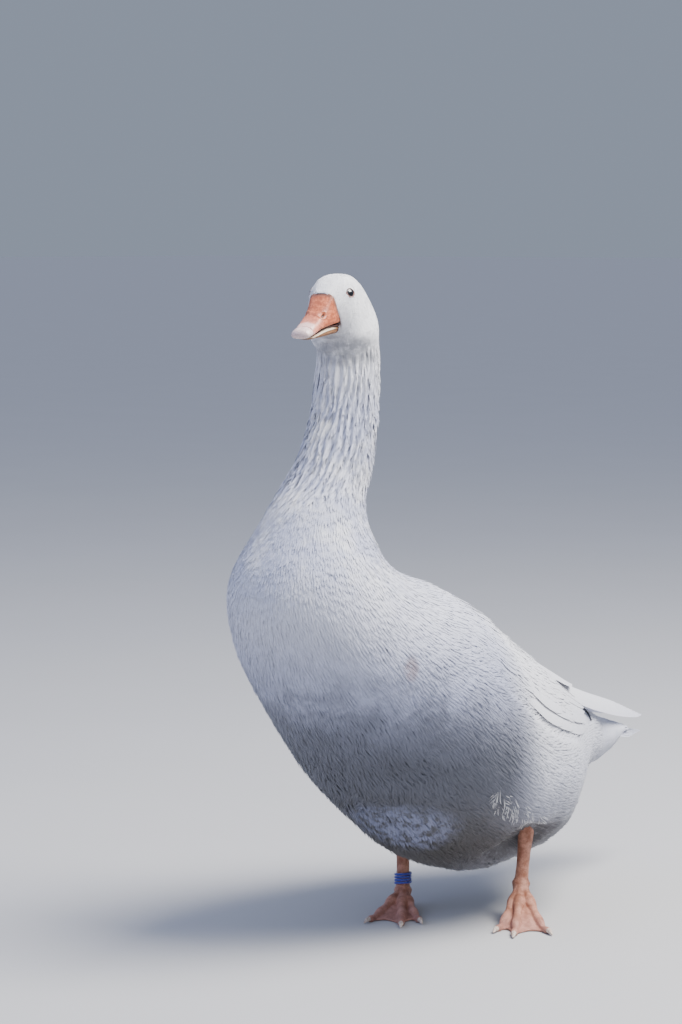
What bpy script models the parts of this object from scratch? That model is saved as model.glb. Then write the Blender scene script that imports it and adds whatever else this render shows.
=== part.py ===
"""A domestic goose of the white Embden kind, standing alert, as a still life-size model.

Metres, +Z up. The bird faces -Y and its left side is +X. It stands on the plane z = 0, and the
origin lies on that plane, under the middle of the bird's length and width. In the tables below a
place on the middle plane of the body is (forward, up), and MIDDLE is the forward distance at y = 0.
All shapes are worked out round the spine, and each mesh is moved aside by SPINE_X when it is made.
"""

import math

import bmesh
import bpy
import numpy as np

# Clearances
GAP = 0.0003
CUT_GAP = 0.00035

# The bird's spine lies this far from the middle of its width, because its left foot reaches out
SPINE_X = -0.0067

# Forward distance of the middle of the bird's length, where the origin lies
MIDDLE = 0.012

# Rings along and points around each closed form
NECK_GRID = (12, 48)
HEAD_GRID = (14, 24)
EYE_GRID = (7, 14)
LID_GRID = (14, 5)
UPPER_BILL_GRID = (9, 18)
LOWER_BILL_GRID = (7, 14)
NOSTRIL_GRID = (4, 10)
TAIL_CORE_GRID = (6, 20)
SHANK_POINTS = 12
TOE_GRID = (7, 8)
WEB_GRID = (4, 9)

# The flesh from the tail root to the face, one row for each named place: a point on the back,
# a point on the underside, the half width, how far the widest place lies above the middle as a
# share of the half depth, and the fullness of the section, 1 for an ellipse and less for squarer.
FLESH = (
    ("tail_root", (-0.222, 0.194), (-0.216, 0.136), 0.027, 0.00, 0.95),
    ("rump", (-0.180, 0.217), (-0.162, 0.121), 0.049, -0.05, 0.92),
    ("vent", (-0.128, 0.248), (-0.109, 0.080), 0.080, -0.10, 0.92),
    ("abdomen", (-0.068, 0.281), (-0.046, 0.052), 0.114, -0.12, 0.90),
    ("waist", (-0.005, 0.319), (0.034, 0.050), 0.132, -0.12, 0.90),
    ("shoulder", (0.055, 0.358), (0.115, 0.083), 0.138, -0.05, 0.90),
    ("keel", (0.105, 0.384), (0.191, 0.150), 0.134, 0.00, 0.92),
    ("breast", (0.145, 0.400), (0.260, 0.230), 0.124, 0.00, 0.95),
    ("crop", (0.172, 0.413), (0.320, 0.311), 0.106, 0.00, 0.97),
    ("neck_base", (0.189, 0.434), (0.345, 0.390), 0.084, 0.00, 1.00),
    ("neck_low", (0.196, 0.476), (0.308, 0.466), 0.053, 0.00, 1.00),
    ("neck_mid", (0.180, 0.526), (0.266, 0.521), 0.040, 0.00, 1.00),
    ("neck_high", (0.170, 0.581), (0.243, 0.576), 0.035, 0.00, 1.00),
    ("nape", (0.1665, 0.644), (0.2345, 0.628), 0.0330, 0.00, 1.00),
    ("jowl", (0.1675, 0.677), (0.2360, 0.640), 0.0355, -0.15, 1.00),
    ("occiput", (0.183, 0.704), (0.2370, 0.646), 0.0340, -0.35, 1.00),
    ("crown", (0.207, 0.7190), (0.2382, 0.650), 0.0315, -0.30, 0.84),
    ("brow", (0.234, 0.7190), (0.2400, 0.6535), 0.0280, -0.10, 0.66),
    ("bill_root", (0.2562, 0.7030), (0.2400, 0.6560), 0.0185, -0.30, 0.60),
)

# The bill in rows of the same kind, before the head is turned
UPPER_BILL = (
    ("root", (0.2555, 0.7010), (0.2445, 0.6690), 0.0168, -0.40, 0.46),
    ("nostril", (0.2690, 0.6845), (0.2600, 0.6672), 0.0152, -0.45, 0.68),
    ("middle", (0.2815, 0.6735), (0.2770, 0.6640), 0.0136, -0.45, 0.78),
    ("nail_root", (0.2925, 0.6675), (0.2905, 0.6577), 0.0118, -0.35, 0.82),
)
NAIL = (
    ("root", (0.2925, 0.6675), (0.2905, 0.6577), 0.0116, -0.35, 0.82),
    ("middle", (0.2985, 0.6652), (0.2975, 0.6550), 0.0110, -0.25, 0.84),
    ("tip", (0.3035, 0.6622), (0.3025, 0.6548), 0.0085, -0.10, 0.88),
)
LOWER_BILL = (
    ("root", (0.2438, 0.6672), (0.2405, 0.6575), 0.0132, 0.20, 0.85),
    ("middle", (0.2660, 0.6640), (0.2665, 0.6550), 0.0124, 0.30, 0.85),
    ("tip", (0.2890, 0.6560), (0.2890, 0.6535), 0.0088, 0.10, 0.95),
)
BILL_ROOT_SINK = 0.0002

# The head is turned toward the bird's left, and the turn is made along the upper neck
HEAD_TURN = math.radians(13.0)
TURN_FROM = 0.476
TURN_TO = 0.626
TURN_AXIS = 0.2014

# Furrows of the neck
FURROWS = 12
FURROW_DEPTH = 0.0022
FURROW_TWIST = 1.1

# The bed in the torso's side in which a folded wing lies, in rows and in angle from the back
BED_DEPTH = 0.013
BED_ROWS = (0.3, 1.8, 6.2, 7.6)
BED_ANGLES = (4.0, 24.0, 50.0, 67.5)

# The feathers of the flank, which stand out over the lower edge of the wing
FLANK_RISE = 0.0055
FLANK_ROWS = (2.2, 3.6, 5.8, 7.6)
FLANK_ANGLES = (66.5, 72.0, 84.0, 118.0)

# Angles from the back of the torso's own points, close where the flank and its fold begin
TORSO_RINGS = 23
TORSO_ANGLES = (0, 13, 26, 39, 50, 59, 66.5, 72, 81, 92, 103, 113, 123, 133, 144, 156, 168, 180)

# The fold of the flank over the leg, below which the belly lies further in
FOLD_DEPTH = 0.012
FOLD_ROWS = (2.4, 3.6, 4.6, 6.0)
FOLD_ANGLES = (112.0, 132.0)
FOLD_END = (150.0, 172.0)

# Eyes, placed on the head before it is turned
EYE_PLACE = (0.0242, 0.2377, 0.7011)
EYE_RADIUS = 0.0080
EYE_SINK = 0.0062
LID_RADIUS = 0.0062
LID_THICKNESS = 0.0014
LID_OUT = 0.0002
LID_OVAL = (0.94, 1.06)
NOSTRIL_PLACE = (0.0076, 0.2712, 0.6782)
NOSTRIL_RADIUS = 0.0021
NOSTRIL_LENGTH = 0.0022

# Legs: the joint above the toes, the top of the shank, and the way the toes point
LEFT_JOINT = (0.0762, -0.0036, 0.0390)
LEFT_TOP = (0.0730, -0.0200, 0.1250)
LEFT_TOES_TURN = math.radians(34.0)
RIGHT_JOINT = (-0.0500, 0.0535, 0.0205)
RIGHT_TOP = (-0.0600, 0.0420, 0.1250)
RIGHT_TOES_TURN = math.radians(40.0)

# Feet: toes are named inner, middle and outer, and spread by their own angles from the middle one
TOE_LENGTHS = (0.074, 0.088, 0.080)
TOE_SPREADS = (math.radians(16.0), math.radians(27.0))
TOE_RADIUS = 0.0053
TOE_FLOOR = 0.0030
WEB_FLOOR = 0.0014
WEB_THICKNESS = 0.0022
WEB_NOTCH = 0.16
CLAW_LENGTH = 0.0105
CLAW_RADIUS = 0.0030
HIND_TOE = 0.017
HIND_SCALE = 0.7
HIND_TURN = 0.5
SLOPE_SHARE = 0.80
SLOPE_POWER = 1.12
WEB_REACH = (0.10, 0.90)
SHANK_HEIGHTS = (0.0, 0.0025, 0.0055, 0.018, 0.034, 0.052)
SHANK_RADII = (0.0105, 0.0090, 0.0077, 0.0072, 0.0074, 0.0086, 0.0110)
ANKLE_DROPS = (0.0105, 0.004, 0.0)
ANKLE_RADII = (0.0075, 0.0098, 0.0105)
CLAW_SHARES = (0.0, 0.35, 0.7, 1.0)
CLAW_TAPER = (1.0, 0.86, 0.58, 0.22)
CLAW_HEIGHT = 0.0040
CLAW_DROP = 0.0022

# The coiled leg ring on the right shank
RING_HEIGHT = 0.0160
RING_TURNS = 4
RING_STRIP = 0.0017
RING_RADIUS = 0.0084
RING_RISE = 0.0058

# Folded wings: the covered part, as an oval in rows and in angle from the back
WING_ROWS = (1.2, 7.3)
WING_ANGLES = (6.0, 67.0)
PAD_RINGS = 13
PAD_COLUMNS = 7
PAD_ROUND = 0.60
PAD_POINT = 0.05
PAD_EDGE = 0.0020
PAD_RISE = 0.0025
PAD_RISE_ROWS = (2.0, 4.6)
PAD_SINK = 0.0030

# Feathers: the width and thickness at each quarter of the length, as shares of the full ones
VANE_SHARES = (0.0, 0.25, 0.50, 0.75, 1.0)
VANE_WIDTHS = (0.70, 0.92, 1.0, 0.93, 0.24)
VANE_DEPTHS = (1.2, 1.1, 1.0, 0.85, 0.60)
VANE_EDGE = 0.65
VANE_CAMBER = 0.0004
VANE_THICK = 0.0008

# Tiers of a folded wing, outermost first. The middle lines of all feathers lie on one set of
# angles from the back, so that the tiers lie over one another like tiles. For each tier: the
# numbers of its first and last feather on that set, the row of its roots, the rows of its first
# and last tip, and how far its feathers lie off the body.
TIER_ANGLE = 9.2
TIER_SPACING = 10.2
TIER_OVERLAP = 0.62
TIER_STEP = 0.00115
TIER_STATIONS = (0.0, 0.35, 0.70, 0.91, 1.0)
TIER_ROOT = -0.0010
WING_TIERS = (
    ("scapulars", 0, 5, 5.65, 3.40, 3.70, 0.0053),
    ("great_coverts", 0, 5, 4.50, 2.30, 2.75, 0.0042),
    ("tertials", 0, 2, 3.50, 1.35, 1.15, 0.0030),
    ("secondaries", 3, 5, 3.50, 1.05, 2.00, 0.0030),
)

# The hand of the wing: root, bend and tip of its uppermost and lowermost feather
PRIMARIES = 5
PRIMARY_STATIONS = (0.0, 0.34, 0.68, 0.90, 1.0)
PRIMARY_ROOTS = ((0.036, -0.098, 0.258), (0.044, -0.098, 0.248))
PRIMARY_BENDS = ((0.031, -0.165, 0.224), (0.040, -0.165, 0.211))
PRIMARY_TIPS = ((0.013, -0.268, 0.2000), (0.010, -0.316, 0.1810))
PRIMARY_UP = (0.62, 0.22, 0.75)
PRIMARY_WIDTH = 0.017

# Tail: its covered core in rows like the flesh, the coverts round it, and the closed fan
TAIL_CORE = (
    ("start", (-0.2130, 0.1955), (-0.2100, 0.1325), 0.0265, 0.00, 0.95),
    ("middle", (-0.2400, 0.1860), (-0.2390, 0.1460), 0.0270, 0.00, 0.95),
    ("end", (-0.2640, 0.1790), (-0.2610, 0.1610), 0.0270, 0.00, 0.95),
    ("covert_tips", (-0.2860, 0.1715), (-0.2830, 0.1650), 0.0250, 0.00, 0.95),
)
COVERTS = 11
COVERT_ROOT = 0.70
COVERT_STATIONS = (0.0, 0.35, 0.85, 1.0)
COVERT_TIPS = (2.75, 1.75)
COVERT_LIFTS = (-0.0012, 0.0016)
TAIL_PAIRS = 5
TAIL_STATIONS = (0.0, 0.50, 0.88, 1.0)
TAIL_SPREAD = math.radians(8.0)
TAIL_LENGTHS = (0.103, 0.060)
TAIL_ROOT = (-0.2200, 0.1795)
TAIL_PITCH = 0.0042
TAIL_SLOPE = 0.135
TAIL_SAG = 0.55
TAIL_FALL = 7.0
TAIL_LEVEL = 0.00085
TAIL_THICK = 0.00055
TAIL_WIDTH = 0.020


def clear_scene():
    for thing in list(bpy.data.objects):
        bpy.data.objects.remove(thing, do_unlink=True)


def material(name, colour, roughness, metallic=0.0):
    made = bpy.data.materials.get(name) or bpy.data.materials.new(name)
    made.use_nodes = True
    shader = made.node_tree.nodes["Principled BSDF"]
    shader.inputs["Base Color"].default_value = (*colour, 1.0)
    shader.inputs["Roughness"].default_value = roughness
    shader.inputs["Metallic"].default_value = metallic
    return made


def white_plumage():
    return material("white_plumage", (0.80, 0.80, 0.79), 0.75)


def orange_horn():
    return material("orange_horn", (0.80, 0.36, 0.19), 0.50)


def pale_horn():
    return material("pale_horn", (0.82, 0.68, 0.64), 0.45)


def orange_skin():
    return material("orange_skin", (0.74, 0.38, 0.24), 0.60)


def dark_eye():
    return material("dark_eye", (0.03, 0.04, 0.05), 0.08)


def blue_plastic():
    return material("blue_plastic", (0.05, 0.08, 0.42), 0.35)


def row_number(name):
    return [row[0] for row in FLESH].index(name)


def blend_rows(rows, place):
    """Each column of rows at a place between them, on a smooth curve through the rows."""
    values = np.array([[*row[1], *row[2], *row[3:]] for row in rows], float)
    last = len(values) - 1
    place = np.clip(np.asarray(place, float), 0.0, last)
    slopes = np.gradient(values, axis=0)
    low = np.minimum(place.astype(int), last - 1)
    share = (place - low)[..., None]
    square = share * share
    cube = square * share
    return (
        (2 * cube - 3 * square + 1) * values[low]
        + (cube - 2 * square + share) * slopes[low]
        + (3 * square - 2 * cube) * values[low + 1]
        + (cube - square) * slopes[low + 1]
    )


def smooth_step(value, low, high):
    share = np.clip((value - low) / (high - low), 0.0, 1.0)
    return share * share * (3 - 2 * share)


def plateau(value, edges):
    """0 outside the outer two edges, 1 between the inner two."""
    return smooth_step(value, edges[0], edges[1]) * (1 - smooth_step(value, edges[2], edges[3]))


def turn_head(x, forward, up):
    """World points, turned about the upright axis of the neck by the share due at their height."""
    angle = HEAD_TURN * smooth_step(up, TURN_FROM, TURN_TO)
    reach = forward - TURN_AXIS
    turned_x = x * np.cos(angle) + reach * np.sin(angle)
    turned_forward = TURN_AXIS + reach * np.cos(angle) - x * np.sin(angle)
    return np.stack([turned_x, MIDDLE - turned_forward, up], axis=-1)


def section_points(rows, place, angle):
    """Points on a lofted form: angle 0 is its top line, half a turn is its underside."""
    place, angle = np.broadcast_arrays(np.asarray(place, float), np.asarray(angle, float))
    back_f, back_u, under_f, under_u, width, low, full = np.moveaxis(blend_rows(rows, place), -1, 0)
    sine = np.sin(angle)
    lift = np.cos(angle) + low * sine * sine
    side = np.sign(sine) * np.abs(sine) ** full * width
    forward = (back_f + under_f) / 2 + (back_f - under_f) / 2 * lift
    up = (back_u + under_u) / 2 + (back_u - under_u) / 2 * lift
    return turn_head(side, forward, up)


def outward(rows, place, angle):
    """Unit normals of a lofted form, from small steps along and around it."""
    step = 0.002
    last = len(rows) - 1
    ahead = section_points(rows, np.minimum(place + step, last), angle)
    behind = section_points(rows, np.maximum(place - step, 0.0), angle)
    along = ahead - behind
    around = section_points(rows, place, angle + step) - section_points(rows, place, angle - step)
    normal = np.cross(along, around)
    return normal / np.linalg.norm(normal, axis=-1, keepdims=True)


def flesh_relief(place, angle):
    """How far the flesh lies outside its rows: the flanks stand out, the wing beds and folds go in."""
    degrees = np.degrees(np.abs((angle + math.pi) % (2 * math.pi) - math.pi))
    bed = BED_DEPTH * plateau(place, BED_ROWS) * plateau(degrees, BED_ANGLES)
    fold = FOLD_DEPTH * plateau(place, FOLD_ROWS) * smooth_step(degrees, *FOLD_ANGLES)
    fold = fold * (1 - smooth_step(degrees, *FOLD_END))
    flank = FLANK_RISE * plateau(place, FLANK_ROWS) * plateau(degrees, FLANK_ANGLES)
    furrow = np.sin(FURROWS * (angle + FURROW_TWIST * np.sin(2.1 * place)))
    low = row_number("neck_low")
    neck = plateau(place, (low - 0.6, low + 0.6, low + 2.7, low + 3.0))
    return FURROW_DEPTH * furrow * neck + flank - bed - fold


def flesh_points(place, angle, lift=0.0):
    place, angle = np.broadcast_arrays(np.asarray(place, float), np.asarray(angle, float))
    normal = outward(FLESH, place, angle)
    height = flesh_relief(place, angle) + lift
    return section_points(FLESH, place, angle) + normal * height[..., None]


def ring_faces(rings, around):
    """Quads of a tube of closed rings, with a fan to a middle point at each end."""
    faces = []
    for i in range(rings - 1):
        for j in range(around):
            k = (j + 1) % around
            faces.append((i * around + j, i * around + k, (i + 1) * around + k, (i + 1) * around + j))
    first = rings * around
    last = first + 1
    top = (rings - 1) * around
    for j in range(around):
        k = (j + 1) % around
        faces.append((first, k, j))
        faces.append((last, top + j, top + k))
    return faces


def tube_mesh(grid):
    """Points and faces of a closed tube whose rings are the rows of grid."""
    rings, around = grid.shape[:2]
    points = np.concatenate([grid.reshape(-1, 3), [grid[0].mean(axis=0)], [grid[-1].mean(axis=0)]])
    return points, ring_faces(rings, around)


def make_object(name, points, faces, look):
    mesh = bpy.data.meshes.new(name)
    placed = np.asarray(points, float) + [SPINE_X, 0.0, 0.0]
    mesh.from_pydata([tuple(point) for point in placed], [], faces)
    made = bpy.data.objects.new(name, mesh)
    bpy.context.scene.collection.objects.link(made)
    shape = bmesh.new()
    shape.from_mesh(mesh)
    bmesh.ops.triangulate(shape, faces=list(shape.faces), quad_method="FIXED")
    bmesh.ops.recalc_face_normals(shape, faces=list(shape.faces))
    if shape.calc_volume(signed=True) < 0:
        bmesh.ops.reverse_faces(shape, faces=list(shape.faces))
    shape.to_mesh(mesh)
    shape.free()
    mesh.materials.append(look)
    mesh.shade_smooth()
    mesh.set_sharp_from_angle(angle=math.radians(40.0))
    return made


def keep_largest(made):
    """Drops every closed surface of a fused or cut mesh but its largest."""
    shape = bmesh.new()
    shape.from_mesh(made.data)
    bmesh.ops.dissolve_degenerate(shape, dist=1e-7, edges=list(shape.edges))
    unseen = set(shape.faces)
    islands = []
    while unseen:
        island = {unseen.pop()}
        front = list(island)
        while front:
            near = {face for edge in front.pop().edges for face in edge.link_faces}
            fresh = near & unseen
            unseen -= fresh
            island |= fresh
            front.extend(fresh)
        islands.append(island)
    largest = max(islands, key=lambda island: sum(face.calc_area() for face in island))
    for island in islands:
        if island is not largest:
            bmesh.ops.delete(shape, geom=list(island), context="FACES")
    loose = [vertex for vertex in shape.verts if not vertex.link_faces]
    bmesh.ops.delete(shape, geom=loose, context="VERTS")
    bmesh.ops.triangulate(shape, faces=list(shape.faces))
    shape.to_mesh(made.data)
    shape.free()


def apply_boolean(made, others, operation, solver="EXACT"):
    """One Boolean between a mesh and a collection of others, which are then removed."""
    pieces = bpy.data.collections.new("pieces")
    bpy.context.scene.collection.children.link(pieces)
    for other in others:
        bpy.context.scene.collection.objects.unlink(other)
        pieces.objects.link(other)
    modifier = made.modifiers.new("fuse", "BOOLEAN")
    modifier.operation = operation
    modifier.operand_type = "COLLECTION"
    modifier.collection = pieces
    modifier.solver = solver
    graph = bpy.context.evaluated_depsgraph_get()
    fused = bpy.data.meshes.new_from_object(made.evaluated_get(graph))
    made.modifiers.clear()
    look = made.data.materials[0]
    made.data = fused
    fused.name = made.name
    fused.materials.clear()
    fused.materials.append(look)
    for other in list(pieces.objects):
        bpy.data.objects.remove(other, do_unlink=True)
    bpy.data.collections.remove(pieces)
    keep_largest(made)
    return made


def ring_angles(around):
    """Angles right round a section, evenly spaced or, from a list for one side, mirrored."""
    if isinstance(around, int):
        return np.linspace(0.0, 2 * math.pi, around, endpoint=False)[None, :]
    side = np.radians(around)
    return np.concatenate([side, 2 * math.pi - side[-2:0:-1]])[None, :]


def flesh_piece(first, last, rings, around, gap_first=0.0):
    """A closed length of the flesh between two named rows, its first end drawn back by a gap."""
    places = np.linspace(row_number(first), row_number(last), rings)[:, None]
    grid = flesh_points(places, ring_angles(around))
    if gap_first:
        across = grid[1].mean(axis=0) - grid[0].mean(axis=0)
        back = grid[0, 0] - grid[0, around // 2]
        normal = np.cross(np.cross(back, across), back)
        normal = normal / np.linalg.norm(normal)
        grid[0] = grid[0] + normal * gap_first
    return tube_mesh(grid)


def torso():
    points, faces = flesh_piece("tail_root", "neck_base", TORSO_RINGS, TORSO_ANGLES)
    return make_object("torso", points, faces, white_plumage())


def grown_torso():
    """The torso grown by the gap, which cuts a clear seat for what lies on it."""
    places = np.linspace(row_number("tail_root"), row_number("neck_base"), TORSO_RINGS)[:, None]
    grid = flesh_points(places, ring_angles(TORSO_ANGLES), CUT_GAP)
    ends = grid[[0, -1]]
    middles = ends.mean(axis=1)
    grid[0] += np.array([0.0, CUT_GAP, 0.0]) + (ends[0] - middles[0]) * 0.002
    grid[-1] += np.array([0.0, 0.0, CUT_GAP]) + (ends[1] - middles[1]) * 0.002
    points, faces = tube_mesh(grid)
    return make_object("torso_seat", points, faces, white_plumage())


def neck():
    points, faces = flesh_piece("neck_base", "nape", *NECK_GRID, GAP)
    return make_object("neck", points, faces, white_plumage())


def turned(x, forward, up):
    return turn_head(np.asarray(x, float), np.asarray(forward, float), np.asarray(up, float))


def eye_axis(side):
    """The unit direction in which an eye looks: outward, a little forward and up."""
    ahead = turned(side * 0.88, TURN_AXIS + 0.42, 1.0) - turned(0.0, TURN_AXIS, 1.0)
    ahead[2] = 0.22
    return ahead / np.linalg.norm(ahead)


def sphere_points(centre, radius, grid, axis):
    """Rings of points on a sphere whose poles lie on the axis."""
    rings, around = grid
    axis = np.asarray(axis, float)
    first = np.cross(axis, [0.0, 0.0, 1.0])
    first = first / np.linalg.norm(first)
    second = np.cross(axis, first)
    polar = np.linspace(0.0, math.pi, rings + 2)[1:-1, None, None]
    turn = np.linspace(0.0, 2 * math.pi, around, endpoint=False)[None, :, None]
    across = np.cos(turn) * first + np.sin(turn) * second
    return centre + radius * (np.cos(polar) * axis + np.sin(polar) * across)


def ball(name, centre, radius, axis, look):
    points, faces = tube_mesh(sphere_points(centre, radius, EYE_GRID, axis))
    points[-2] = centre + radius * np.asarray(axis)
    points[-1] = centre - radius * np.asarray(axis)
    return make_object(name, points, faces, look)


def eye_centre(side):
    place = turned(side * EYE_PLACE[0], EYE_PLACE[1], EYE_PLACE[2])
    return place - eye_axis(side) * EYE_SINK


def lid(side):
    """A raised ring of bare skin round an eye."""
    axis = eye_axis(side)
    centre = eye_centre(side) + axis * (EYE_SINK + LID_OUT)
    first = np.cross(axis, [0.0, 0.0, 1.0])
    first = first / np.linalg.norm(first)
    second = np.cross(axis, first)
    turn = np.linspace(0.0, 2 * math.pi, LID_GRID[0], endpoint=False)[:, None, None]
    bend = np.linspace(0.0, 2 * math.pi, LID_GRID[1], endpoint=False)[None, :, None]
    across = np.cos(turn) * first * LID_OVAL[0] + np.sin(turn) * second * LID_OVAL[1]
    reach = LID_RADIUS + LID_THICKNESS * np.cos(bend)
    grid = centre + across * reach + axis * LID_THICKNESS * np.sin(bend)
    rings, around = grid.shape[:2]
    faces = []
    for i in range(rings):
        for j in range(around):
            k = (j + 1) % around
            n = (i + 1) % rings
            faces.append((i * around + j, i * around + k, n * around + k, n * around + j))
    return make_object("lid", grid.reshape(-1, 3), faces, white_plumage())


def head():
    points, faces = flesh_piece("nape", "bill_root", *HEAD_GRID, GAP)
    made = make_object("head", points, faces, white_plumage())
    apply_boolean(made, [lid(1), lid(-1)], "UNION")
    sockets = []
    for side in (1, -1):
        centre = eye_centre(side)
        sockets.append(ball("socket", centre, EYE_RADIUS + GAP, eye_axis(side), white_plumage()))
    return apply_boolean(made, sockets, "DIFFERENCE")


def eyes():
    for name, side in (("eye_left", 1), ("eye_right", -1)):
        ball(name, eye_centre(side), EYE_RADIUS, eye_axis(side), dark_eye())


def bill_piece(name, rows, grid_size, look, forward_shift):
    """A closed lofted piece of the bill, moved forward by the gap that keeps it off its root."""
    places = np.linspace(0.0, len(rows) - 1.0, grid_size[0])[:, None]
    grid = section_points(rows, places, ring_angles(grid_size[1]))
    ahead = turned(0.0, TURN_AXIS + forward_shift, 1.0) - turned(0.0, TURN_AXIS, 1.0)
    points, faces = tube_mesh(grid + ahead)
    return make_object(name, points, faces, look)


def nostril(side):
    centre = turned(side * NOSTRIL_PLACE[0], NOSTRIL_PLACE[1], NOSTRIL_PLACE[2])
    axis = turned(side * 0.9, TURN_AXIS + 0.2, 1.0) - turned(0.0, TURN_AXIS, 1.0)
    axis[2] = 0.35
    axis = axis / np.linalg.norm(axis)
    grid = sphere_points(np.zeros(3), 1.0, NOSTRIL_GRID, axis)
    points, faces = tube_mesh(grid)
    points[-2] = axis
    points[-1] = -axis
    ahead = turned(0.0, TURN_AXIS + 1.0, 1.0) - turned(0.0, TURN_AXIS, 1.0)
    along = points @ ahead
    points = points * NOSTRIL_RADIUS + np.outer(along, ahead) * NOSTRIL_LENGTH
    return make_object("nostril", points + centre, faces, orange_horn())


def bill():
    upper = bill_piece("bill_upper", UPPER_BILL, UPPER_BILL_GRID, orange_horn(), GAP + BILL_ROOT_SINK)
    apply_boolean(upper, [nostril(1), nostril(-1)], "DIFFERENCE")
    bill_piece("bill_nail", NAIL, LOWER_BILL_GRID, pale_horn(), 2 * GAP + BILL_ROOT_SINK)
    bill_piece("bill_lower", LOWER_BILL, LOWER_BILL_GRID, orange_horn(), GAP + BILL_ROOT_SINK)


def round_tube(centres, radii, around):
    """Rings of given radii square to the path through the centres."""
    centres = np.asarray(centres, float)
    along = np.gradient(centres, axis=0)
    along = along / np.linalg.norm(along, axis=1, keepdims=True)
    side = np.cross(along, [0.0, 1.0, 0.001])
    side = side / np.linalg.norm(side, axis=1, keepdims=True)
    other = np.cross(along, side)
    turn = np.linspace(0.0, 2 * math.pi, around, endpoint=False)[None, :, None]
    across = np.cos(turn) * side[:, None, :] + np.sin(turn) * other[:, None, :]
    return centres[:, None, :] + across * np.asarray(radii, float)[:, None, None]


def world(place):
    """A world point from (x, forward, up)."""
    return np.array([place[0], MIDDLE - place[1], place[2]])


def shank_line(joint, top, share):
    return world(joint) + (world(top) - world(joint)) * share


def leg(name, joint, top):
    """The shank from above the toes' joint up into the feathers, cut to the torso's surface."""
    length = np.linalg.norm(world(top) - world(joint))
    line = [shank_line(joint, top, height / length) for height in (*SHANK_HEIGHTS, length)]
    grid = round_tube(line, SHANK_RADII, SHANK_POINTS)
    grid[0, :, 2] = joint[2] + GAP
    points, faces = tube_mesh(grid)
    made = make_object(name, points, faces, orange_skin())
    return apply_boolean(made, [grown_torso()], "DIFFERENCE")


def toe_direction(turn):
    """World direction on the floor, turned from straight ahead toward the bird's left."""
    return np.array([math.sin(turn), -math.cos(turn), 0.0])


def foot_height(share, joint_height):
    """Height of a toe's middle line: from the joint down to the floor, then flat."""
    drop = np.clip(share / SLOPE_SHARE, 0.0, 1.0)
    return TOE_FLOOR + (joint_height - TOE_FLOOR) * (1 - drop) ** SLOPE_POWER


def toe(joint, turn, length, radius_scale=1.0):
    """One toe, round above and flat on the floor below, with pads at its joints."""
    shares = np.linspace(0.0, 1.0, TOE_GRID[0])
    heights = foot_height(shares, joint[2])
    direction = toe_direction(turn)
    pads = 1.0 + 0.16 * np.cos(shares * math.pi * 6.0)
    radii = TOE_RADIUS * radius_scale * (1.25 - 0.55 * shares) * pads
    centres = world(joint)[None, :] * [1, 1, 0] + direction * shares[:, None] * length
    centres[:, 2] = heights
    return round_tube(centres, radii, TOE_GRID[1])


def foot(name, joint, turn, inner_side):
    """Three webbed toes and a small hind toe, fused, with the soles cut flat at the floor."""
    pieces = []
    spreads = (inner_side * TOE_SPREADS[0], 0.0, -inner_side * TOE_SPREADS[1])
    for spread, length in zip(spreads, TOE_LENGTHS):
        points, faces = tube_mesh(toe(joint, turn - spread, length))
        pieces.append(make_object("toe", points, faces, orange_skin()))
    hind_joint = (joint[0], joint[1], joint[2] * 0.75)
    hind = toe(hind_joint, turn + math.pi + inner_side * HIND_TURN, HIND_TOE, HIND_SCALE)
    points, faces = tube_mesh(hind)
    pieces.append(make_object("hind", points, faces, orange_skin()))
    pieces.append(web(joint, turn, spreads))
    ankle = [world(joint) - [0, 0, drop] for drop in ANKLE_DROPS]
    points, faces = tube_mesh(round_tube(ankle, ANKLE_RADII, SHANK_POINTS))
    made = make_object(name, points, faces, orange_skin())
    apply_boolean(made, pieces, "UNION")
    top = joint[2]
    cuts = [slab("under", -0.05, 0.0), slab("over", top, top + 0.03)]
    return apply_boolean(made, cuts, "DIFFERENCE")


def slab(name, low, high):
    """A wide level block from one height to another, used as a cutter."""
    reach = 0.3
    corners = [(x, y, z) for z in (low, high) for x, y in ((-1, -1), (1, -1), (1, 1), (-1, 1))]
    points = np.array([(x * reach, y * reach, z) for x, y, z in corners])
    faces = [(0, 3, 2, 1), (4, 5, 6, 7), (0, 1, 5, 4), (1, 2, 6, 5), (2, 3, 7, 6), (3, 0, 4, 7)]
    return make_object(name, points, faces, orange_skin())


def web(joint, turn, spreads):
    """The skin between the toes: a fan whose front edge is drawn in between each two toes."""
    rows, steps = WEB_GRID
    share = np.linspace(0.0, 1.0, steps)
    angles = turn - np.interp(share, (0, 0.5, 1), spreads)
    reach = np.interp(share, (0, 0.5, 1), TOE_LENGTHS) * WEB_REACH[1]
    reach = reach * (1 - WEB_NOTCH * np.abs(np.sin(2 * math.pi * share)))
    out = np.linspace(WEB_REACH[0], 1.0, rows)[:, None]
    direction = np.stack([toe_direction(angle) for angle in angles])
    flat = world(joint) * [1, 1, 0] + direction[None, :, :] * (out * reach)[..., None]
    whole = np.interp(share, (0, 0.5, 1), TOE_LENGTHS)[None, :]
    middle = foot_height(out * reach / whole, joint[2]) - TOE_FLOOR + WEB_FLOOR
    top = flat + np.array([0, 0, 1.0]) * (middle + WEB_THICKNESS / 2)[..., None]
    under = flat + np.array([0, 0, 1.0]) * (middle - WEB_THICKNESS / 2)[..., None]
    return sheet_object("web", top, under, orange_skin())


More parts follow.
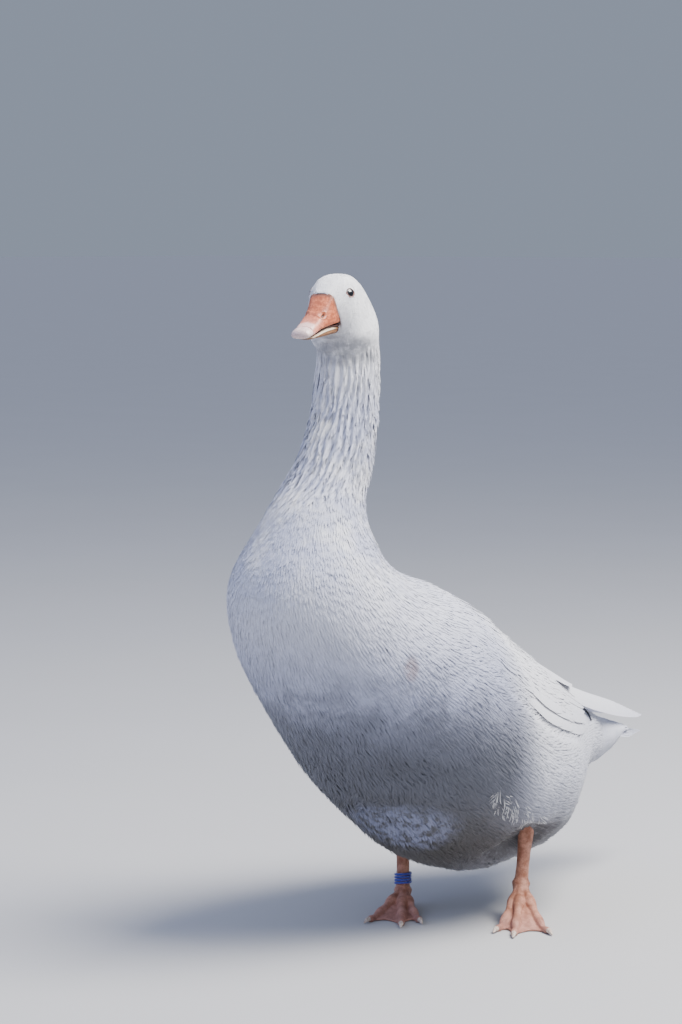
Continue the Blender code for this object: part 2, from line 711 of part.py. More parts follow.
def sheet_object(name, top, under, look):
    """A closed thin solid between two grids of the same size, split alike on both faces."""
    rows, columns = top.shape[:2]
    points = np.concatenate([top.reshape(-1, 3), under.reshape(-1, 3)])
    size = rows * columns
    faces = []
    for i in range(rows - 1):
        for j in range(columns - 1):
            a = i * columns + j
            b = a + 1
            c = a + columns + 1
            d = a + columns
            faces += [(a, b, c), (a, c, d)]
            faces += [(size + a, size + c, size + b), (size + a, size + d, size + c)]
    edge = [(0, j) for j in range(columns)]
    edge += [(i, columns - 1) for i in range(1, rows)]
    edge += [(rows - 1, j) for j in range(columns - 2, -1, -1)]
    edge += [(i, 0) for i in range(rows - 2, 0, -1)]
    loop = [i * columns + j for i, j in edge]
    for a, b in zip(loop, loop[1:] + loop[:1]):
        faces += [(a, size + a, size + b), (a, size + b, b)]
    return make_object(name, points, faces, look)


def claws(side_name, joint, turn, inner_side):
    """A short tapered claw at the end of each front toe, clear of it by the gap."""
    names = ("inner", "middle", "outer")
    spreads = (inner_side * TOE_SPREADS[0], 0.0, -inner_side * TOE_SPREADS[1])
    for name, spread, length in zip(names, spreads, TOE_LENGTHS):
        direction = toe_direction(turn - spread)
        start = world(joint) * [1, 1, 0] + direction * (length + GAP)
        shares = np.array(CLAW_SHARES)
        centres = start + direction * shares[:, None] * CLAW_LENGTH
        centres[:, 2] = CLAW_HEIGHT - CLAW_DROP * shares**2
        radii = CLAW_RADIUS * np.array(CLAW_TAPER)
        points, faces = tube_mesh(round_tube(centres, radii, 8))
        points[:, 2] = np.maximum(points[:, 2], 0.0)
        make_object(f"claw_{side_name}_{name}", points, faces, pale_horn())


def leg_ring():
    """A strip wound into a coil of touching-close turns round the right shank."""
    steps = 12 * RING_TURNS + 1
    turns = np.linspace(0.0, RING_TURNS, steps)
    axis = world(RIGHT_TOP) - world(RIGHT_JOINT)
    axis = axis / np.linalg.norm(axis)
    low = world(RIGHT_JOINT) + axis * RING_RISE
    side = np.cross(axis, [0.0, 1.0, 0.0])
    side = side / np.linalg.norm(side)
    other = np.cross(axis, side)
    angle = turns[:, None] * 2 * math.pi
    spoke = np.cos(angle) * side + np.sin(angle) * other
    pitch = RING_HEIGHT / (RING_TURNS + 1)
    half = (pitch - GAP * 2) / 2
    centre = low + axis * (turns[:, None] * pitch + half)
    corners = ((0.0, -1.0), (0.9, -1.0), (0.9, 1.0), (0.0, 1.0))
    grid = np.stack(
        [centre + spoke * (RING_RADIUS + RING_STRIP * out) + axis * half * up for out, up in corners], axis=1
    )
    points, faces = tube_mesh(grid)
    make_object("leg_ring", points, faces, blue_plastic())


def blade(line, face, width, thick):
    """One feather: a thin tapered sheet along a line, its middle raised, facing a given way."""
    share = np.array(PRIMARY_STATIONS)[:, None]
    along = np.gradient(line, axis=0)
    along = along / np.linalg.norm(along, axis=1, keepdims=True)
    side = np.cross(along, face)
    side = side / np.linalg.norm(side, axis=1, keepdims=True)
    face = np.cross(side, along)
    half = width / 2 * np.interp(share, VANE_SHARES, VANE_WIDTHS)
    depth = thick * np.interp(share, VANE_SHARES, VANE_DEPTHS)
    top = []
    under = []
    for across, rise, full in ((-1, 0.0, VANE_EDGE), (0, VANE_CAMBER, 1.0), (1, 0.0, VANE_EDGE)):
        top.append(line + side * across * half + face * rise)
        under.append(top[-1] - face * depth * full)
    return sheet_object("vane", np.stack(top, axis=1), np.stack(under, axis=1), white_plumage())


def bent_vane(places, up, width, side=1):
    """A feather on a curve from its root by way of a bend to its tip, clear of the body."""
    root, bend, tip = (world(place) * [side, 1, 1] for place in places)
    share = np.array(PRIMARY_STATIONS)[:, None]
    line = (1 - share) ** 2 * root + 2 * share * (1 - share) * bend + share**2 * tip
    return blade(line, np.array(up) * [side, 1, 1], width, VANE_THICK)


def laid_vane(rows, ends, angle, spacing, lifts, lean, side=1, stations=TIER_STATIONS):
    """A feather laid along a lofted form between two rows, at a height over it, a tile's step askew."""
    share = np.array(stations)[:, None]
    across = np.array([[-1.0, 0.0, 1.0]])
    width = spacing * TIER_OVERLAP * np.interp(share, VANE_SHARES, VANE_WIDTHS)
    places = ends[0] + (ends[1] - ends[0]) * share + across * 0.0
    angles = np.radians(angle + width * across)
    height = np.where(share > 0, lifts[1], lifts[0]) + lean * TIER_STEP * width / spacing * across
    top_height = height + VANE_CAMBER * (1 - across**2)
    depth = VANE_THICK * np.interp(share, VANE_SHARES, VANE_DEPTHS)
    depth = depth * (1 - (1 - VANE_EDGE) * across**2)
    normal = outward(rows, places, angles)
    surface = section_points(rows, places, angles)
    top = surface + normal * top_height[..., None]
    under = top - normal * depth[..., None]
    return sheet_object("vane", top * [side, 1, 1], under * [side, 1, 1], white_plumage())


def wing_pad(side):
    """The covered part of a folded wing, thick in its middle, its inner face sunk in the torso."""
    turn = np.linspace(-math.pi / 2, math.pi / 2, PAD_RINGS)[:, None]
    across = np.linspace(-1.0, 1.0, PAD_COLUMNS)[None, :]
    places = sum(WING_ROWS) / 2 + np.sin(turn) * (WING_ROWS[1] - WING_ROWS[0]) / 2 + across * 0.0
    width = np.maximum(np.cos(turn), PAD_POINT) ** PAD_ROUND * (WING_ANGLES[1] - WING_ANGLES[0]) / 2
    degrees = sum(WING_ANGLES) / 2 + across * width
    angles = np.radians(degrees)
    bed = BED_DEPTH * plateau(places, BED_ROWS) * plateau(degrees, BED_ANGLES)
    rise = PAD_RISE * smooth_step(places, *PAD_RISE_ROWS) * (1 - across**2)
    normal = outward(FLESH, places, angles)
    surface = section_points(FLESH, places, angles)
    top = surface + normal * (PAD_EDGE + rise)[..., None]
    under = surface - normal * (bed + PAD_SINK)[..., None]
    return top * [side, 1, 1], under * [side, 1, 1]


def wing(name, side):
    top, under = wing_pad(side)
    made = sheet_object(name, top, under, white_plumage())
    vanes = [piece for tier in WING_TIERS for piece in wing_tier(side, *tier[1:])]
    apply_boolean(made, vanes + primaries(side), "UNION")
    return apply_boolean(made, [grown_torso()], "DIFFERENCE")


def between(ends, share):
    first, last = (np.asarray(end, float) for end in ends)
    return first + (last - first) * share


def wing_tier(side, first, last, root, first_tip, last_tip, lift):
    """A row of feathers from the back down the side, each one over the next one below it."""
    made = []
    for number in range(first, last + 1):
        tip = between((first_tip, last_tip), (number - first) / (last - first))
        angle = TIER_ANGLE + TIER_SPACING * number
        made.append(laid_vane(FLESH, (root, tip), angle, TIER_SPACING, (TIER_ROOT, lift), 1, side))
    return made


def primaries(side):
    """The long feathers of the hand, stacked flat on one another past the end of the wing."""
    made = []
    for share in np.linspace(0.0, 1.0, PRIMARIES):
        places = [between(ends, share) for ends in (PRIMARY_ROOTS, PRIMARY_BENDS, PRIMARY_TIPS)]
        made.append(bent_vane(places, PRIMARY_UP, PRIMARY_WIDTH, side))
    return made


def tail():
    places = np.linspace(0.0, len(TAIL_CORE) - 2.0, TAIL_CORE_GRID[0])[:, None]
    points, faces = tube_mesh(section_points(TAIL_CORE, places, ring_angles(TAIL_CORE_GRID[1])))
    made = make_object("tail", points, faces, white_plumage())
    apply_boolean(made, tail_feathers() + tail_coverts(), "UNION")
    return apply_boolean(made, [grown_torso()], "DIFFERENCE")


def fan_height(x, reach):
    """Height of the fan's top over the floor: it slopes and sags rearward and falls to its sides."""
    return TAIL_ROOT[1] - TAIL_SLOPE * reach - TAIL_SAG * reach**2 - TAIL_FALL * x**2


def tail_feathers():
    """The closed fan: each pair lies under the last and further out, and no two cross."""
    made = []
    share = np.array(TAIL_STATIONS)[:, None]
    across = np.array([[-1.0, 0.0, 1.0]])
    half = TAIL_WIDTH / 2 * np.interp(share, VANE_SHARES, VANE_WIDTHS)
    for number in range(2 * TAIL_PAIRS):
        pair, side = number // 2, 1 - 2 * (number % 2)
        turn = TAIL_SPREAD * (pair + 0.5) / TAIL_PAIRS
        length = between(TAIL_LENGTHS, pair / (TAIL_PAIRS - 1))
        x = TAIL_PITCH * (pair + 0.5) + length * share * math.sin(turn) + across * half * math.cos(turn)
        reach = length * share * math.cos(turn) - across * half * math.sin(turn)
        up = fan_height(x, reach) - number * TAIL_LEVEL
        top = np.stack([x * side, MIDDLE - TAIL_ROOT[0] + reach, up], axis=-1)
        made.append(sheet_object("vane", top, top - [0.0, 0.0, TAIL_THICK], white_plumage()))
    return made


def tail_coverts():
    """Shorter feathers over and under the root of the fan, the middle ones lying on the rest."""
    made = []
    spacing = 360.0 / COVERTS
    for number in range(-(COVERTS // 2), COVERTS // 2 + 1):
        if abs(number) == COVERTS // 4 + 1:
            continue
        tip = COVERT_TIPS[0] if abs(number) <= COVERTS // 4 else COVERT_TIPS[1]
        lifts = (COVERT_LIFTS[0], COVERT_LIFTS[1] * (1.4 if number == 0 else 1.0))
        lean = -np.sign(number)
        ends = (COVERT_ROOT, tip)
        angle = number * spacing
        made.append(laid_vane(TAIL_CORE, ends, angle, spacing, lifts, lean, stations=COVERT_STATIONS))
    return made


def build_goose():
    clear_scene()
    torso()
    neck()
    head()
    eyes()
    bill()
    leg("leg_left", LEFT_JOINT, LEFT_TOP)
    leg("leg_right", RIGHT_JOINT, RIGHT_TOP)
    foot("foot_left", LEFT_JOINT, LEFT_TOES_TURN, 1)
    foot("foot_right", RIGHT_JOINT, RIGHT_TOES_TURN, -1)
    claws("left", LEFT_JOINT, LEFT_TOES_TURN, 1)
    claws("right", RIGHT_JOINT, RIGHT_TOES_TURN, -1)
    leg_ring()
    wing("wing_left", 1)
    wing("wing_right", -1)
    tail()


build_goose()
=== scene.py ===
# %% [markdown]
# # A white domestic goose, standing alert
#
# The bird is an adult white goose of the Embden kind, 0.72 m tall. It stands on both feet with its
# wings folded and its head turned a little to its left. Under the feathers a goose has one
# continuous skin. Over it lie small soft contour feathers like tiles, the neck feathers hang in
# wet-looking locks with furrows between them, and long stiff vanes make the wings and the tail.
#
# This file builds it the same way: one skin, then a coat of many thin mesh tufts, then the large
# feathers one by one, and last the bill, the eyes, the legs and the ring. The CAD model that is
# loaded first fixes every size and place.

# %% Load the CAD model
import math

import bpy
import bmesh
import numpy as np
from mathutils import Matrix, Vector
from mathutils.kdtree import KDTree

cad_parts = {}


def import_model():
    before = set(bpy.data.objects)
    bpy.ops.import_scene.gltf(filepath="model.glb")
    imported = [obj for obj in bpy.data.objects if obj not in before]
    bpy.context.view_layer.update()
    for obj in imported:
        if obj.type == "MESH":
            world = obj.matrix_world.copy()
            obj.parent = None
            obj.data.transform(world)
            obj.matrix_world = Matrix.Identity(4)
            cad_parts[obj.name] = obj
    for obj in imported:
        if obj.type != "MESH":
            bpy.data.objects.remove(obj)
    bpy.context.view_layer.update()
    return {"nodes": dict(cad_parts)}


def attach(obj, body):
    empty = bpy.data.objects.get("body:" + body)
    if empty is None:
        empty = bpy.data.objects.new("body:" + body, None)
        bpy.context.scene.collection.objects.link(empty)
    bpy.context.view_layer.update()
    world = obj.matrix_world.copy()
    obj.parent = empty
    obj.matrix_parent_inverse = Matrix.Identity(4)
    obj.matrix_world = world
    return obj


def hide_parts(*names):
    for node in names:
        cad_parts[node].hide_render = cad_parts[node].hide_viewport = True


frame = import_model()

# %% [markdown]
# ## The camera
#
# A portrait of a bird is taken from low down, near its own eye level, so that it doesn't look
# squashed. The camera stands 3 m off at the bird's front left and 0.76 m up, and looks slightly
# down. A long lens keeps the near foot and the far tail in proportion. The bird stands to the
# right of the picture's middle, so the camera is turned a few degrees past it.

# %% Camera
PICTURE = (682, 1024)
HORIZON = 240
SPINE_COLUMN = 470
MIDDLE = 0.012
SPINE_X = -0.0067
FOCAL = 2679.0
CAMERA_TURN = math.radians(40.0)
CAMERA_REACH = 3.0
CAMERA_HEIGHT = 0.756
SENSOR = 36.0


def make_camera():
    """
    A camera from its place, the way it looks and its focal length in pixels of the picture. The
    picture's row HORIZON lies level with it, and the body's middle stands in SPINE_COLUMN.
    """
    place = np.array([math.sin(CAMERA_TURN), -math.cos(CAMERA_TURN), 0.0]) * CAMERA_REACH
    place += [SPINE_X, MIDDLE, CAMERA_HEIGHT]
    pitch = math.atan((PICTURE[1] / 2 - HORIZON) / FOCAL)
    yaw = math.atan((SPINE_COLUMN - PICTURE[0] / 2) / FOCAL * math.cos(pitch))
    ahead = np.array([-math.sin(CAMERA_TURN), math.cos(CAMERA_TURN), 0.0])
    right = np.array([math.cos(CAMERA_TURN), math.sin(CAMERA_TURN), 0.0])
    level = ahead * math.cos(yaw) - right * math.sin(yaw)
    right = np.cross(level, [0.0, 0.0, 1.0])
    look = level * math.cos(pitch) - np.array([0.0, 0.0, math.sin(pitch)])
    up = np.cross(right, look)
    lens = bpy.data.cameras.new("camera")
    lens.sensor_width = SENSOR
    lens.lens = FOCAL / PICTURE[1] * SENSOR
    camera = bpy.data.objects.new("camera", lens)
    bpy.context.scene.collection.objects.link(camera)
    turn = Matrix([[right[i], up[i], -look[i]] for i in range(3)])
    camera.matrix_world = Matrix.Translation(Vector(place)) @ turn.to_4x4()
    bpy.context.scene.camera = camera
    return camera


camera = make_camera()
print("camera at", [round(value, 3) for value in camera.location], "lens", round(camera.data.lens, 1))

# %% [markdown]
# ## Writing materials as sums
#
# A node material is a formula drawn as boxes. Written as Python it is easier to read: `Wire` wraps
# an output socket, and adding, subtracting or multiplying wires adds the Math nodes. Every other
# node comes from `add_node`, which takes the node's type, its settings and its inputs.


# %% Wires and nodes
class Wire:
    """An output socket that can be used in sums with numbers and other wires."""

    def __init__(self, socket):
        self.socket = socket
        self.tree = socket.id_data

    def math(self, operation, first, second):
        return add_node(self.tree, "ShaderNodeMath", {"operation": operation}, {0: first, 1: second})

    def __add__(self, other):
        return self.math("ADD", self, other)

    __radd__ = __add__

    def __sub__(self, other):
        return self.math("SUBTRACT", self, other)

    def __rsub__(self, other):
        return self.math("SUBTRACT", other, self)

    def __mul__(self, other):
        return self.math("MULTIPLY", self, other)

    __rmul__ = __mul__

    def step(self, low, high):
        """0 below low, 1 above high and a smooth rise between; high may be the lower one."""
        flip = high < low
        low, high = (high, low) if flip else (low, high)
        settings = {"interpolation_type": "SMOOTHSTEP"}
        values = {"Value": self, "From Min": low, "From Max": high}
        made = add_node(self.tree, "ShaderNodeMapRange", settings, values)
        return 1 - made if flip else made


def add_node(tree, kind, settings=None, values=None, out=0):
    """Any node: its settings first, then a value or a wire for each input; one output as a Wire."""
    node = tree.nodes.new(kind)
    for name, value in (settings or {}).items():
        setattr(node, name, value)
    for name, value in (values or {}).items():
        if isinstance(value, Wire):
            tree.links.new(value.socket, node.inputs[name])
        else:
            node.inputs[name].default_value = value
    return Wire(node.outputs[out])


def blend(share, first, second):
    """The first colour where the share is 0 and the second where it is 1; colours are RGB."""
    values = {0: share}
    for number, colour in ((6, first), (7, second)):
        values[number] = colour if isinstance(colour, Wire) else (*colour, 1.0)
    return add_node(share.tree, "ShaderNodeMix", {"data_type": "RGBA"}, values, out=2)


class Finish:
    """A material with one Principled shader, and short ways to reach places and noise in it."""

    def __init__(self, name, **constants):
        self.material = bpy.data.materials.new(name)
        self.material.use_nodes = True
        self.tree = self.material.node_tree
        self.shader = self.tree.nodes["Principled BSDF"]
        for socket, value in constants.items():
            self.shader.inputs[socket.replace("_", " ").title()].default_value = value

    def place(self):
        """The object's own coordinates, in metres."""
        return add_node(self.tree, "ShaderNodeTexCoord", out=3)

    def axes(self, place=None):
        """The three coordinates of a place as separate wires, with x counted from the spine."""
        values = {0: place or self.place()}
        node = add_node(self.tree, "ShaderNodeSeparateXYZ", None, values).socket.node
        x, y, z = (Wire(socket) for socket in node.outputs)
        return x - SPINE_X, y, z

    def attribute(self, name, out=2):
        return add_node(self.tree, "ShaderNodeAttribute", {"attribute_name": name}, out=out)

    def noise(self, scale, detail=2.0, roughness=0.5, place=None, out=0):
        values = {"Scale": scale, "Detail": detail, "Roughness": roughness}
        values["Vector"] = place or self.place()
        return add_node(self.tree, "ShaderNodeTexNoise", None, values, out=out)

    def near(self, middle, reach):
        """1 at a place, falling to 0 at about twice the reach along each axis, ragged by noise."""
        total = (self.noise(140.0, 2.0, 0.6) - 0.5) * 1.2
        for wire, centre, size in zip(self.axes(), middle, reach):
            offset = (wire - centre) * (1.0 / size)
            total = total + offset * offset
        return total.step(3.2, 0.3)

    def bump(self, height, distance, strength=1.0):
        values = {"Height": height, "Distance": distance, "Strength": strength}
        made = add_node(self.tree, "ShaderNodeBump", None, values)
        self.feed("Normal", made)

    def feed(self, socket, wire):
        self.tree.links.new(wire.socket, self.shader.inputs[socket])


def grained(name, noise, steps, colours, bump=None, layers=(), **constants):
    """
    A finish whose colour follows one noise from the first colour to the second. Each layer is an
    attribute, its strength and the colour that it lays over that.
    """
    look = Finish(name, **constants)
    grain = look.noise(*noise)
    colour = blend(grain.step(*steps) if steps else grain, *colours)
    for label, strength, over in layers:
        colour = blend(look.attribute(label) * strength, colour, over)
    look.feed("Base Color", colour)
    if bump:
        look.bump(grain, *bump)
    return look


print("shader wires ready")

# %% [markdown]
# ## The form of the body
#
# The flesh of a bird is one long form, so it is a loft: a row of oval sections from the tail to the
# face. Each row gives a point on the back, a point on the underside and a half width, and a smooth
# curve runs through the rows. A place on the body is then two numbers: where along the rows, and
# the angle round from the back. The neck is twisted a little to turn the head.

# %% Body rows
ROWS = (
    ("tail_root", (-0.222, 0.194), (-0.216, 0.136), 0.027, 0.00, 0.95),
    ("rump", (-0.180, 0.217), (-0.162, 0.121), 0.049, -0.05, 0.92),
    ("vent", (-0.128, 0.248), (-0.109, 0.080), 0.080, -0.10, 0.92),
    ("abdomen", (-0.068, 0.281), (-0.046, 0.052), 0.114, -0.12, 0.90),
    ("waist", (-0.005, 0.319), (0.034, 0.050), 0.132, -0.12, 0.90),
    ("shoulder", (0.055, 0.358), (0.115, 0.083), 0.138, -0.05, 0.90),
    ("keel", (0.105, 0.384), (0.191, 0.150), 0.134, 0.00, 0.92),
    ("breast", (0.145, 0.400), (0.260, 0.230), 0.124, 0.00, 0.95),
    ("crop", (0.172, 0.413), (0.320, 0.311), 0.106, 0.00, 0.97),
    ("neck_base", (0.189, 0.434), (0.345, 0.390), 0.084, 0.00, 1.00),
    ("neck_low", (0.196, 0.476), (0.308, 0.466), 0.053, 0.00, 1.00),
    ("neck_mid", (0.180, 0.526), (0.266, 0.521), 0.040, 0.00, 1.00),
    ("neck_high", (0.170, 0.581), (0.243, 0.576), 0.035, 0.00, 1.00),
    ("nape", (0.1665, 0.644), (0.2345, 0.628), 0.0330, 0.00, 1.00),
    ("jowl", (0.1675, 0.677), (0.2360, 0.640), 0.0355, -0.15, 1.00),
    ("occiput", (0.183, 0.704), (0.2370, 0.646), 0.0340, -0.35, 1.00),
    ("crown", (0.207, 0.7190), (0.2382, 0.650), 0.0315, -0.30, 0.84),
    ("brow", (0.234, 0.7190), (0.2400, 0.6535), 0.0280, -0.10, 0.66),
    ("bill_root", (0.2562, 0.7030), (0.2400, 0.6560), 0.0185, -0.30, 0.60),
    ("bill_rim", (0.2552, 0.6985), (0.2414, 0.6600), 0.0150, -0.36, 0.55),
)
LAST_ROW = len(ROWS) - 1.0

HEAD_TURN = math.radians(13.0)
TURN_SPAN = (0.476, 0.626)
TURN_AXIS = 0.2014


def smooth(value, low, high):
    """0 below low, 1 above high, and 3s^2 - 2s^3 of the share s of the way between."""
    share = np.clip((value - low) / (high - low), 0.0, 1.0)
    return share * share * (3 - 2 * share)


def bell(value, middle, width):
    """1 at the middle and 1/e at a width from it: e to the minus square of the distance."""
    return np.exp(-(((value - middle) / width) ** 2))


def plateau(value, edges):
    """1 between the middle two edges, 0 outside the outer two."""
    return smooth(value, edges[0], edges[1]) * (1 - smooth(value, edges[2], edges[3]))


def unit(vectors):
    """Vectors divided by their own lengths."""
    return vectors / (np.linalg.norm(vectors, axis=-1, keepdims=True) + 1e-12)


def circle(count):
    """Angles at even steps once round, without the last, which would be the first again."""
    return np.linspace(0.0, 2 * math.pi, count, endpoint=False)


def turn_head(x, forward, up):
    """World points, turned about the neck's axis by the share of the turn due at their height."""
    angle = HEAD_TURN * smooth(up, *TURN_SPAN)
    reach = forward - TURN_AXIS
    turned_x = x * np.cos(angle) + reach * np.sin(angle)
    turned_forward = TURN_AXIS + reach * np.cos(angle) - x * np.sin(angle)
    return np.stack([turned_x, MIDDLE - turned_forward, up], axis=-1)


def loft(rows, row, angle):
    """
    Points on a loft. Each column of the rows is a cubic through them with slopes from their
    neighbours. Up and down the section goes with the angle's cosine, the side with its sine
    raised to the row's fullness.
    """
    values = np.array([[*line[1], *line[2], *line[3:]] for line in rows], float)
    row, angle = np.broadcast_arrays(np.asarray(row, float), np.asarray(angle, float))
    last = len(values) - 1
    row = np.clip(row, 0.0, last)
    slopes = np.gradient(values, axis=0)
    low = np.minimum(row.astype(int), last - 1)
    t = (row - low)[..., None]
    mixed = (
        (2 * t**3 - 3 * t**2 + 1) * values[low]
        + (t**3 - 2 * t**2 + t) * slopes[low]
        + (3 * t**2 - 2 * t**3) * values[low + 1]
        + (t**3 - t**2) * slopes[low + 1]
    )
    back_f, back_u, under_f, under_u, width, rise, full = np.moveaxis(mixed, -1, 0)
    sine = np.sin(angle)
    lift = np.cos(angle) + rise * sine * sine
    side = np.sign(sine) * np.abs(sine) ** full * width
    forward = (back_f + under_f) / 2 + (back_f - under_f) / 2 * lift
    up = (back_u + under_u) / 2 + (back_u - under_u) / 2 * lift
    return turn_head(side, forward, up)


def loft_frame(rows, row, angle):
    """Points, outward normals, and the tangents per row and per radian, by small differences."""
    row, angle = np.broadcast_arrays(np.asarray(row, float), np.asarray(angle, float))
    step = 0.002
    high = np.minimum(row + step, len(rows) - 1.0)
    low = np.maximum(row - step, 0.0)
    along = (loft(rows, high, angle) - loft(rows, low, angle)) / (high - low)[..., None]
    around = (loft(rows, row, angle + step) - loft(rows, row, angle - step)) / (2 * step)
    return loft(rows, row, angle), unit(np.cross(along, around)), along, around


print("body from", loft(ROWS, 0.0, 0.0).round(3), "to", loft(ROWS, LAST_ROW, 0.0).round(3))

# %% [markdown]
# ## Where the coat swells and folds
#
# A loft alone is too smooth. The feathers of the flank stand out over the lower edge of the folded
# wing, and end in a fold above the leg, under which the belly lies further in. The left shank
# comes out of a pocket in that fold. The neck's feathers hang in locks with deep furrows between
# them. These are heights added along the normals.

# %% Relief of the body
FURROWS = 30
FURROW_DEPTH = 0.0011
FURROW_BEND = 1.6
FLANK_RISE = 0.0055
FLANK_ROWS = (2.2, 3.6, 5.8, 7.6)
FLANK_ANGLES = (66.5, 72.0, 84.0, 118.0)
FOLD_DEPTH = 0.012
FOLD_ROWS = (2.4, 3.6, 4.6, 6.0)
FOLD_ANGLES = (112.0, 132.0)
FOLD_END = (150.0, 172.0)
POCKET_DEPTH = 0.016
POCKET_ROWS = (3.20, 3.55, 3.95, 4.30)
POCKET_ANGLES = (112.0, 119.0, 148.0, 164.0)
WING_ANGLES = (6.0, 67.0)
WING_EDGE = 0.0020
WING_RISE = 0.0025
NECK_ROWS = (10.0, 10.9, 12.9, 13.4)
COAT_ROWS = (0.0, 1.0, 9.0, 10.5, 13.0, 14.2, 17.0, 19.0)
COAT_DEPTHS = (3, 4.2, 4.2, 3.4, 2.6, 1.3, 1.0, 0.5)


def side_degrees(angle):
    """The angle from the back, in degrees and the same on both sides."""
    return np.degrees(np.abs((angle + math.pi) % (2 * math.pi) - math.pi))


def wing_swell(row, degrees):
    """The folded wing's own height over the body: highest along its middle, none past its edges."""
    across = (degrees - sum(WING_ANGLES) / 2) / (WING_ANGLES[1] - WING_ANGLES[0]) * 2
    inside = np.clip(1 - across**2, 0.0, 1.0)
    return (WING_EDGE + WING_RISE * smooth(row, 2.0, 4.6)) * inside * (1 - smooth(row, 6.0, 7.4))


def relief(row, angle):
    """Height over the loft: wing, flank and furrows stand out, and the fold over the leg goes in."""
    degrees = side_degrees(angle)
    fold = FOLD_DEPTH * plateau(row, FOLD_ROWS) * smooth(degrees, *FOLD_ANGLES)
    fold = fold * (1 - smooth(degrees, *FOLD_END))
    left = np.sin(angle) > 0
    pocket = POCKET_DEPTH * plateau(row, POCKET_ROWS) * plateau(degrees, POCKET_ANGLES) * left
    flank = FLANK_RISE * plateau(row, FLANK_ROWS) * plateau(degrees, FLANK_ANGLES)
    wander = FURROW_BEND * np.sin(3 * angle + 4.0 * row) + 1.1 * np.sin(7 * angle - 6.3 * row)
    furrow = np.sin(FURROWS * angle + wander)
    neck = plateau(row, NECK_ROWS)
    return FURROW_DEPTH * furrow * neck + flank + wing_swell(row, degrees) - fold - pocket


def coat_depth(row):
    """Thickness of the feather coat: about 4 mm on the body, 3 on the neck and 1 on the face."""
    return np.interp(row, COAT_ROWS, COAT_DEPTHS) / 1000


print("flank stands", FLANK_RISE * 1000, "mm out, the fold goes", FOLD_DEPTH * 1000, "mm in")

# %% [markdown]
# ## Meshes from arrays
#
# The goose needs tens of thousands of feathers, so no mesh is made corner by corner. A shape is
# worked out as one array of points and one of triangles, and both go into Blender in one step.
# The UV map named OFBake gives each feather a small patch of its own, at its root's place on the
# unrolled skin, so that colours can be baked without one feather taking another's.


# %% Mesh helpers
def grid_faces(rows, columns, closed=False):
    """Triangles of a grid of points, joined round its columns where it is closed."""
    row = np.arange(rows - 1)[:, None]
    column = np.arange(columns if closed else columns - 1)[None, :]
    after = (column + 1) % columns
    a, b = row * columns + column, row * columns + after
    c, d = (row + 1) * columns + after, (row + 1) * columns + column
    halves = np.stack([a, b, c], -1), np.stack([a, c, d], -1)
    return np.concatenate([half.reshape(-1, 3) for half in halves])


def closed_tube(rings):
    """Points and triangles of a closed tube of rings, with a fan to the middle of each end ring."""
    rows, around = rings.shape[:2]
    points = [rings.reshape(-1, 3), rings[:1].mean(axis=1), rings[-1:].mean(axis=1)]
    column = np.arange(around)
    after = (column + 1) % around
    middle, top = rows * around, (rows - 1) * around
    start = np.stack([column * 0 + middle, after, column], -1)
    end = np.stack([column * 0 + middle + 1, top + column, top + after], -1)
    return np.concatenate(points), np.concatenate([grid_faces(rows, around, True), start, end])


def stacked(shapes):
    """Points and triangles of several shapes as one set, with each shape's triangles counted on."""
    flats = [points.reshape(-1, 3) for points, _ in shapes]
    starts = np.cumsum([0] + [len(flat) for flat in flats])
    faces = [some + start for (_, some), start in zip(shapes, starts)]
    return np.concatenate(flats), np.concatenate(faces)


def corner_normals(points, faces, normals):
    """A unit normal for each corner: its point's own, or the opposite on faces that look away."""
    normals = unit(np.asarray(normals, np.float32).reshape(-1, 3))
    first, second, third = (points[faces[:, corner]] for corner in range(3))
    looks = np.cross(second - first, third - first)
    corners = normals[faces]
    facing = np.sign((corners * looks[:, None]).sum(axis=-1, keepdims=True))
    return (corners * np.where(facing < 0, -1.0, 1.0)).reshape(-1, 3)


def mesh_piece(name, points, faces, finish, slot, uv=None, maps=None, normals=None):
    """
    One object at the origin from points round the spine, triangles, the OFBake map, attributes
    and, where they are given, the normals that light it.
    """
    points = np.ascontiguousarray(np.asarray(points).reshape(-1, 3) + [SPINE_X, 0.0, 0.0], np.float32)
    faces = np.ascontiguousarray(faces, np.int32)
    mesh = bpy.data.meshes.new(name)
    mesh.vertices.add(len(points))
    mesh.vertices.foreach_set("co", points.ravel())
    mesh.loops.add(faces.size)
    mesh.loops.foreach_set("vertex_index", faces.ravel())
    mesh.polygons.add(len(faces))
    mesh.polygons.foreach_set("loop_start", np.arange(0, faces.size, 3, dtype=np.int32))
    mesh.polygons.foreach_set("use_smooth", np.ones(len(faces), bool))
    mesh.update(calc_edges=True)
    if uv is not None:
        layer = mesh.uv_layers.new(name="OFBake")
        corners = np.ascontiguousarray(uv, np.float32).reshape(-1, 2)[faces.ravel()]
        layer.data.foreach_set("uv", corners.ravel())
    for label, values in (maps or {}).items():
        values = np.ascontiguousarray(values, np.float32).reshape(len(points), -1)
        kind, key = ("FLOAT", "value") if values.shape[1] == 1 else ("FLOAT_VECTOR", "vector")
        mesh.attributes.new(label, kind, "POINT").data.foreach_set(key, values.ravel())
    if normals is not None:
        mesh.normals_split_custom_set(corner_normals(points, faces, normals).tolist())
    mesh.materials.append(finish.material)
    made = bpy.data.objects.new(name, mesh)
    bpy.context.scene.collection.objects.link(made)
    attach(made, "root")
    return made


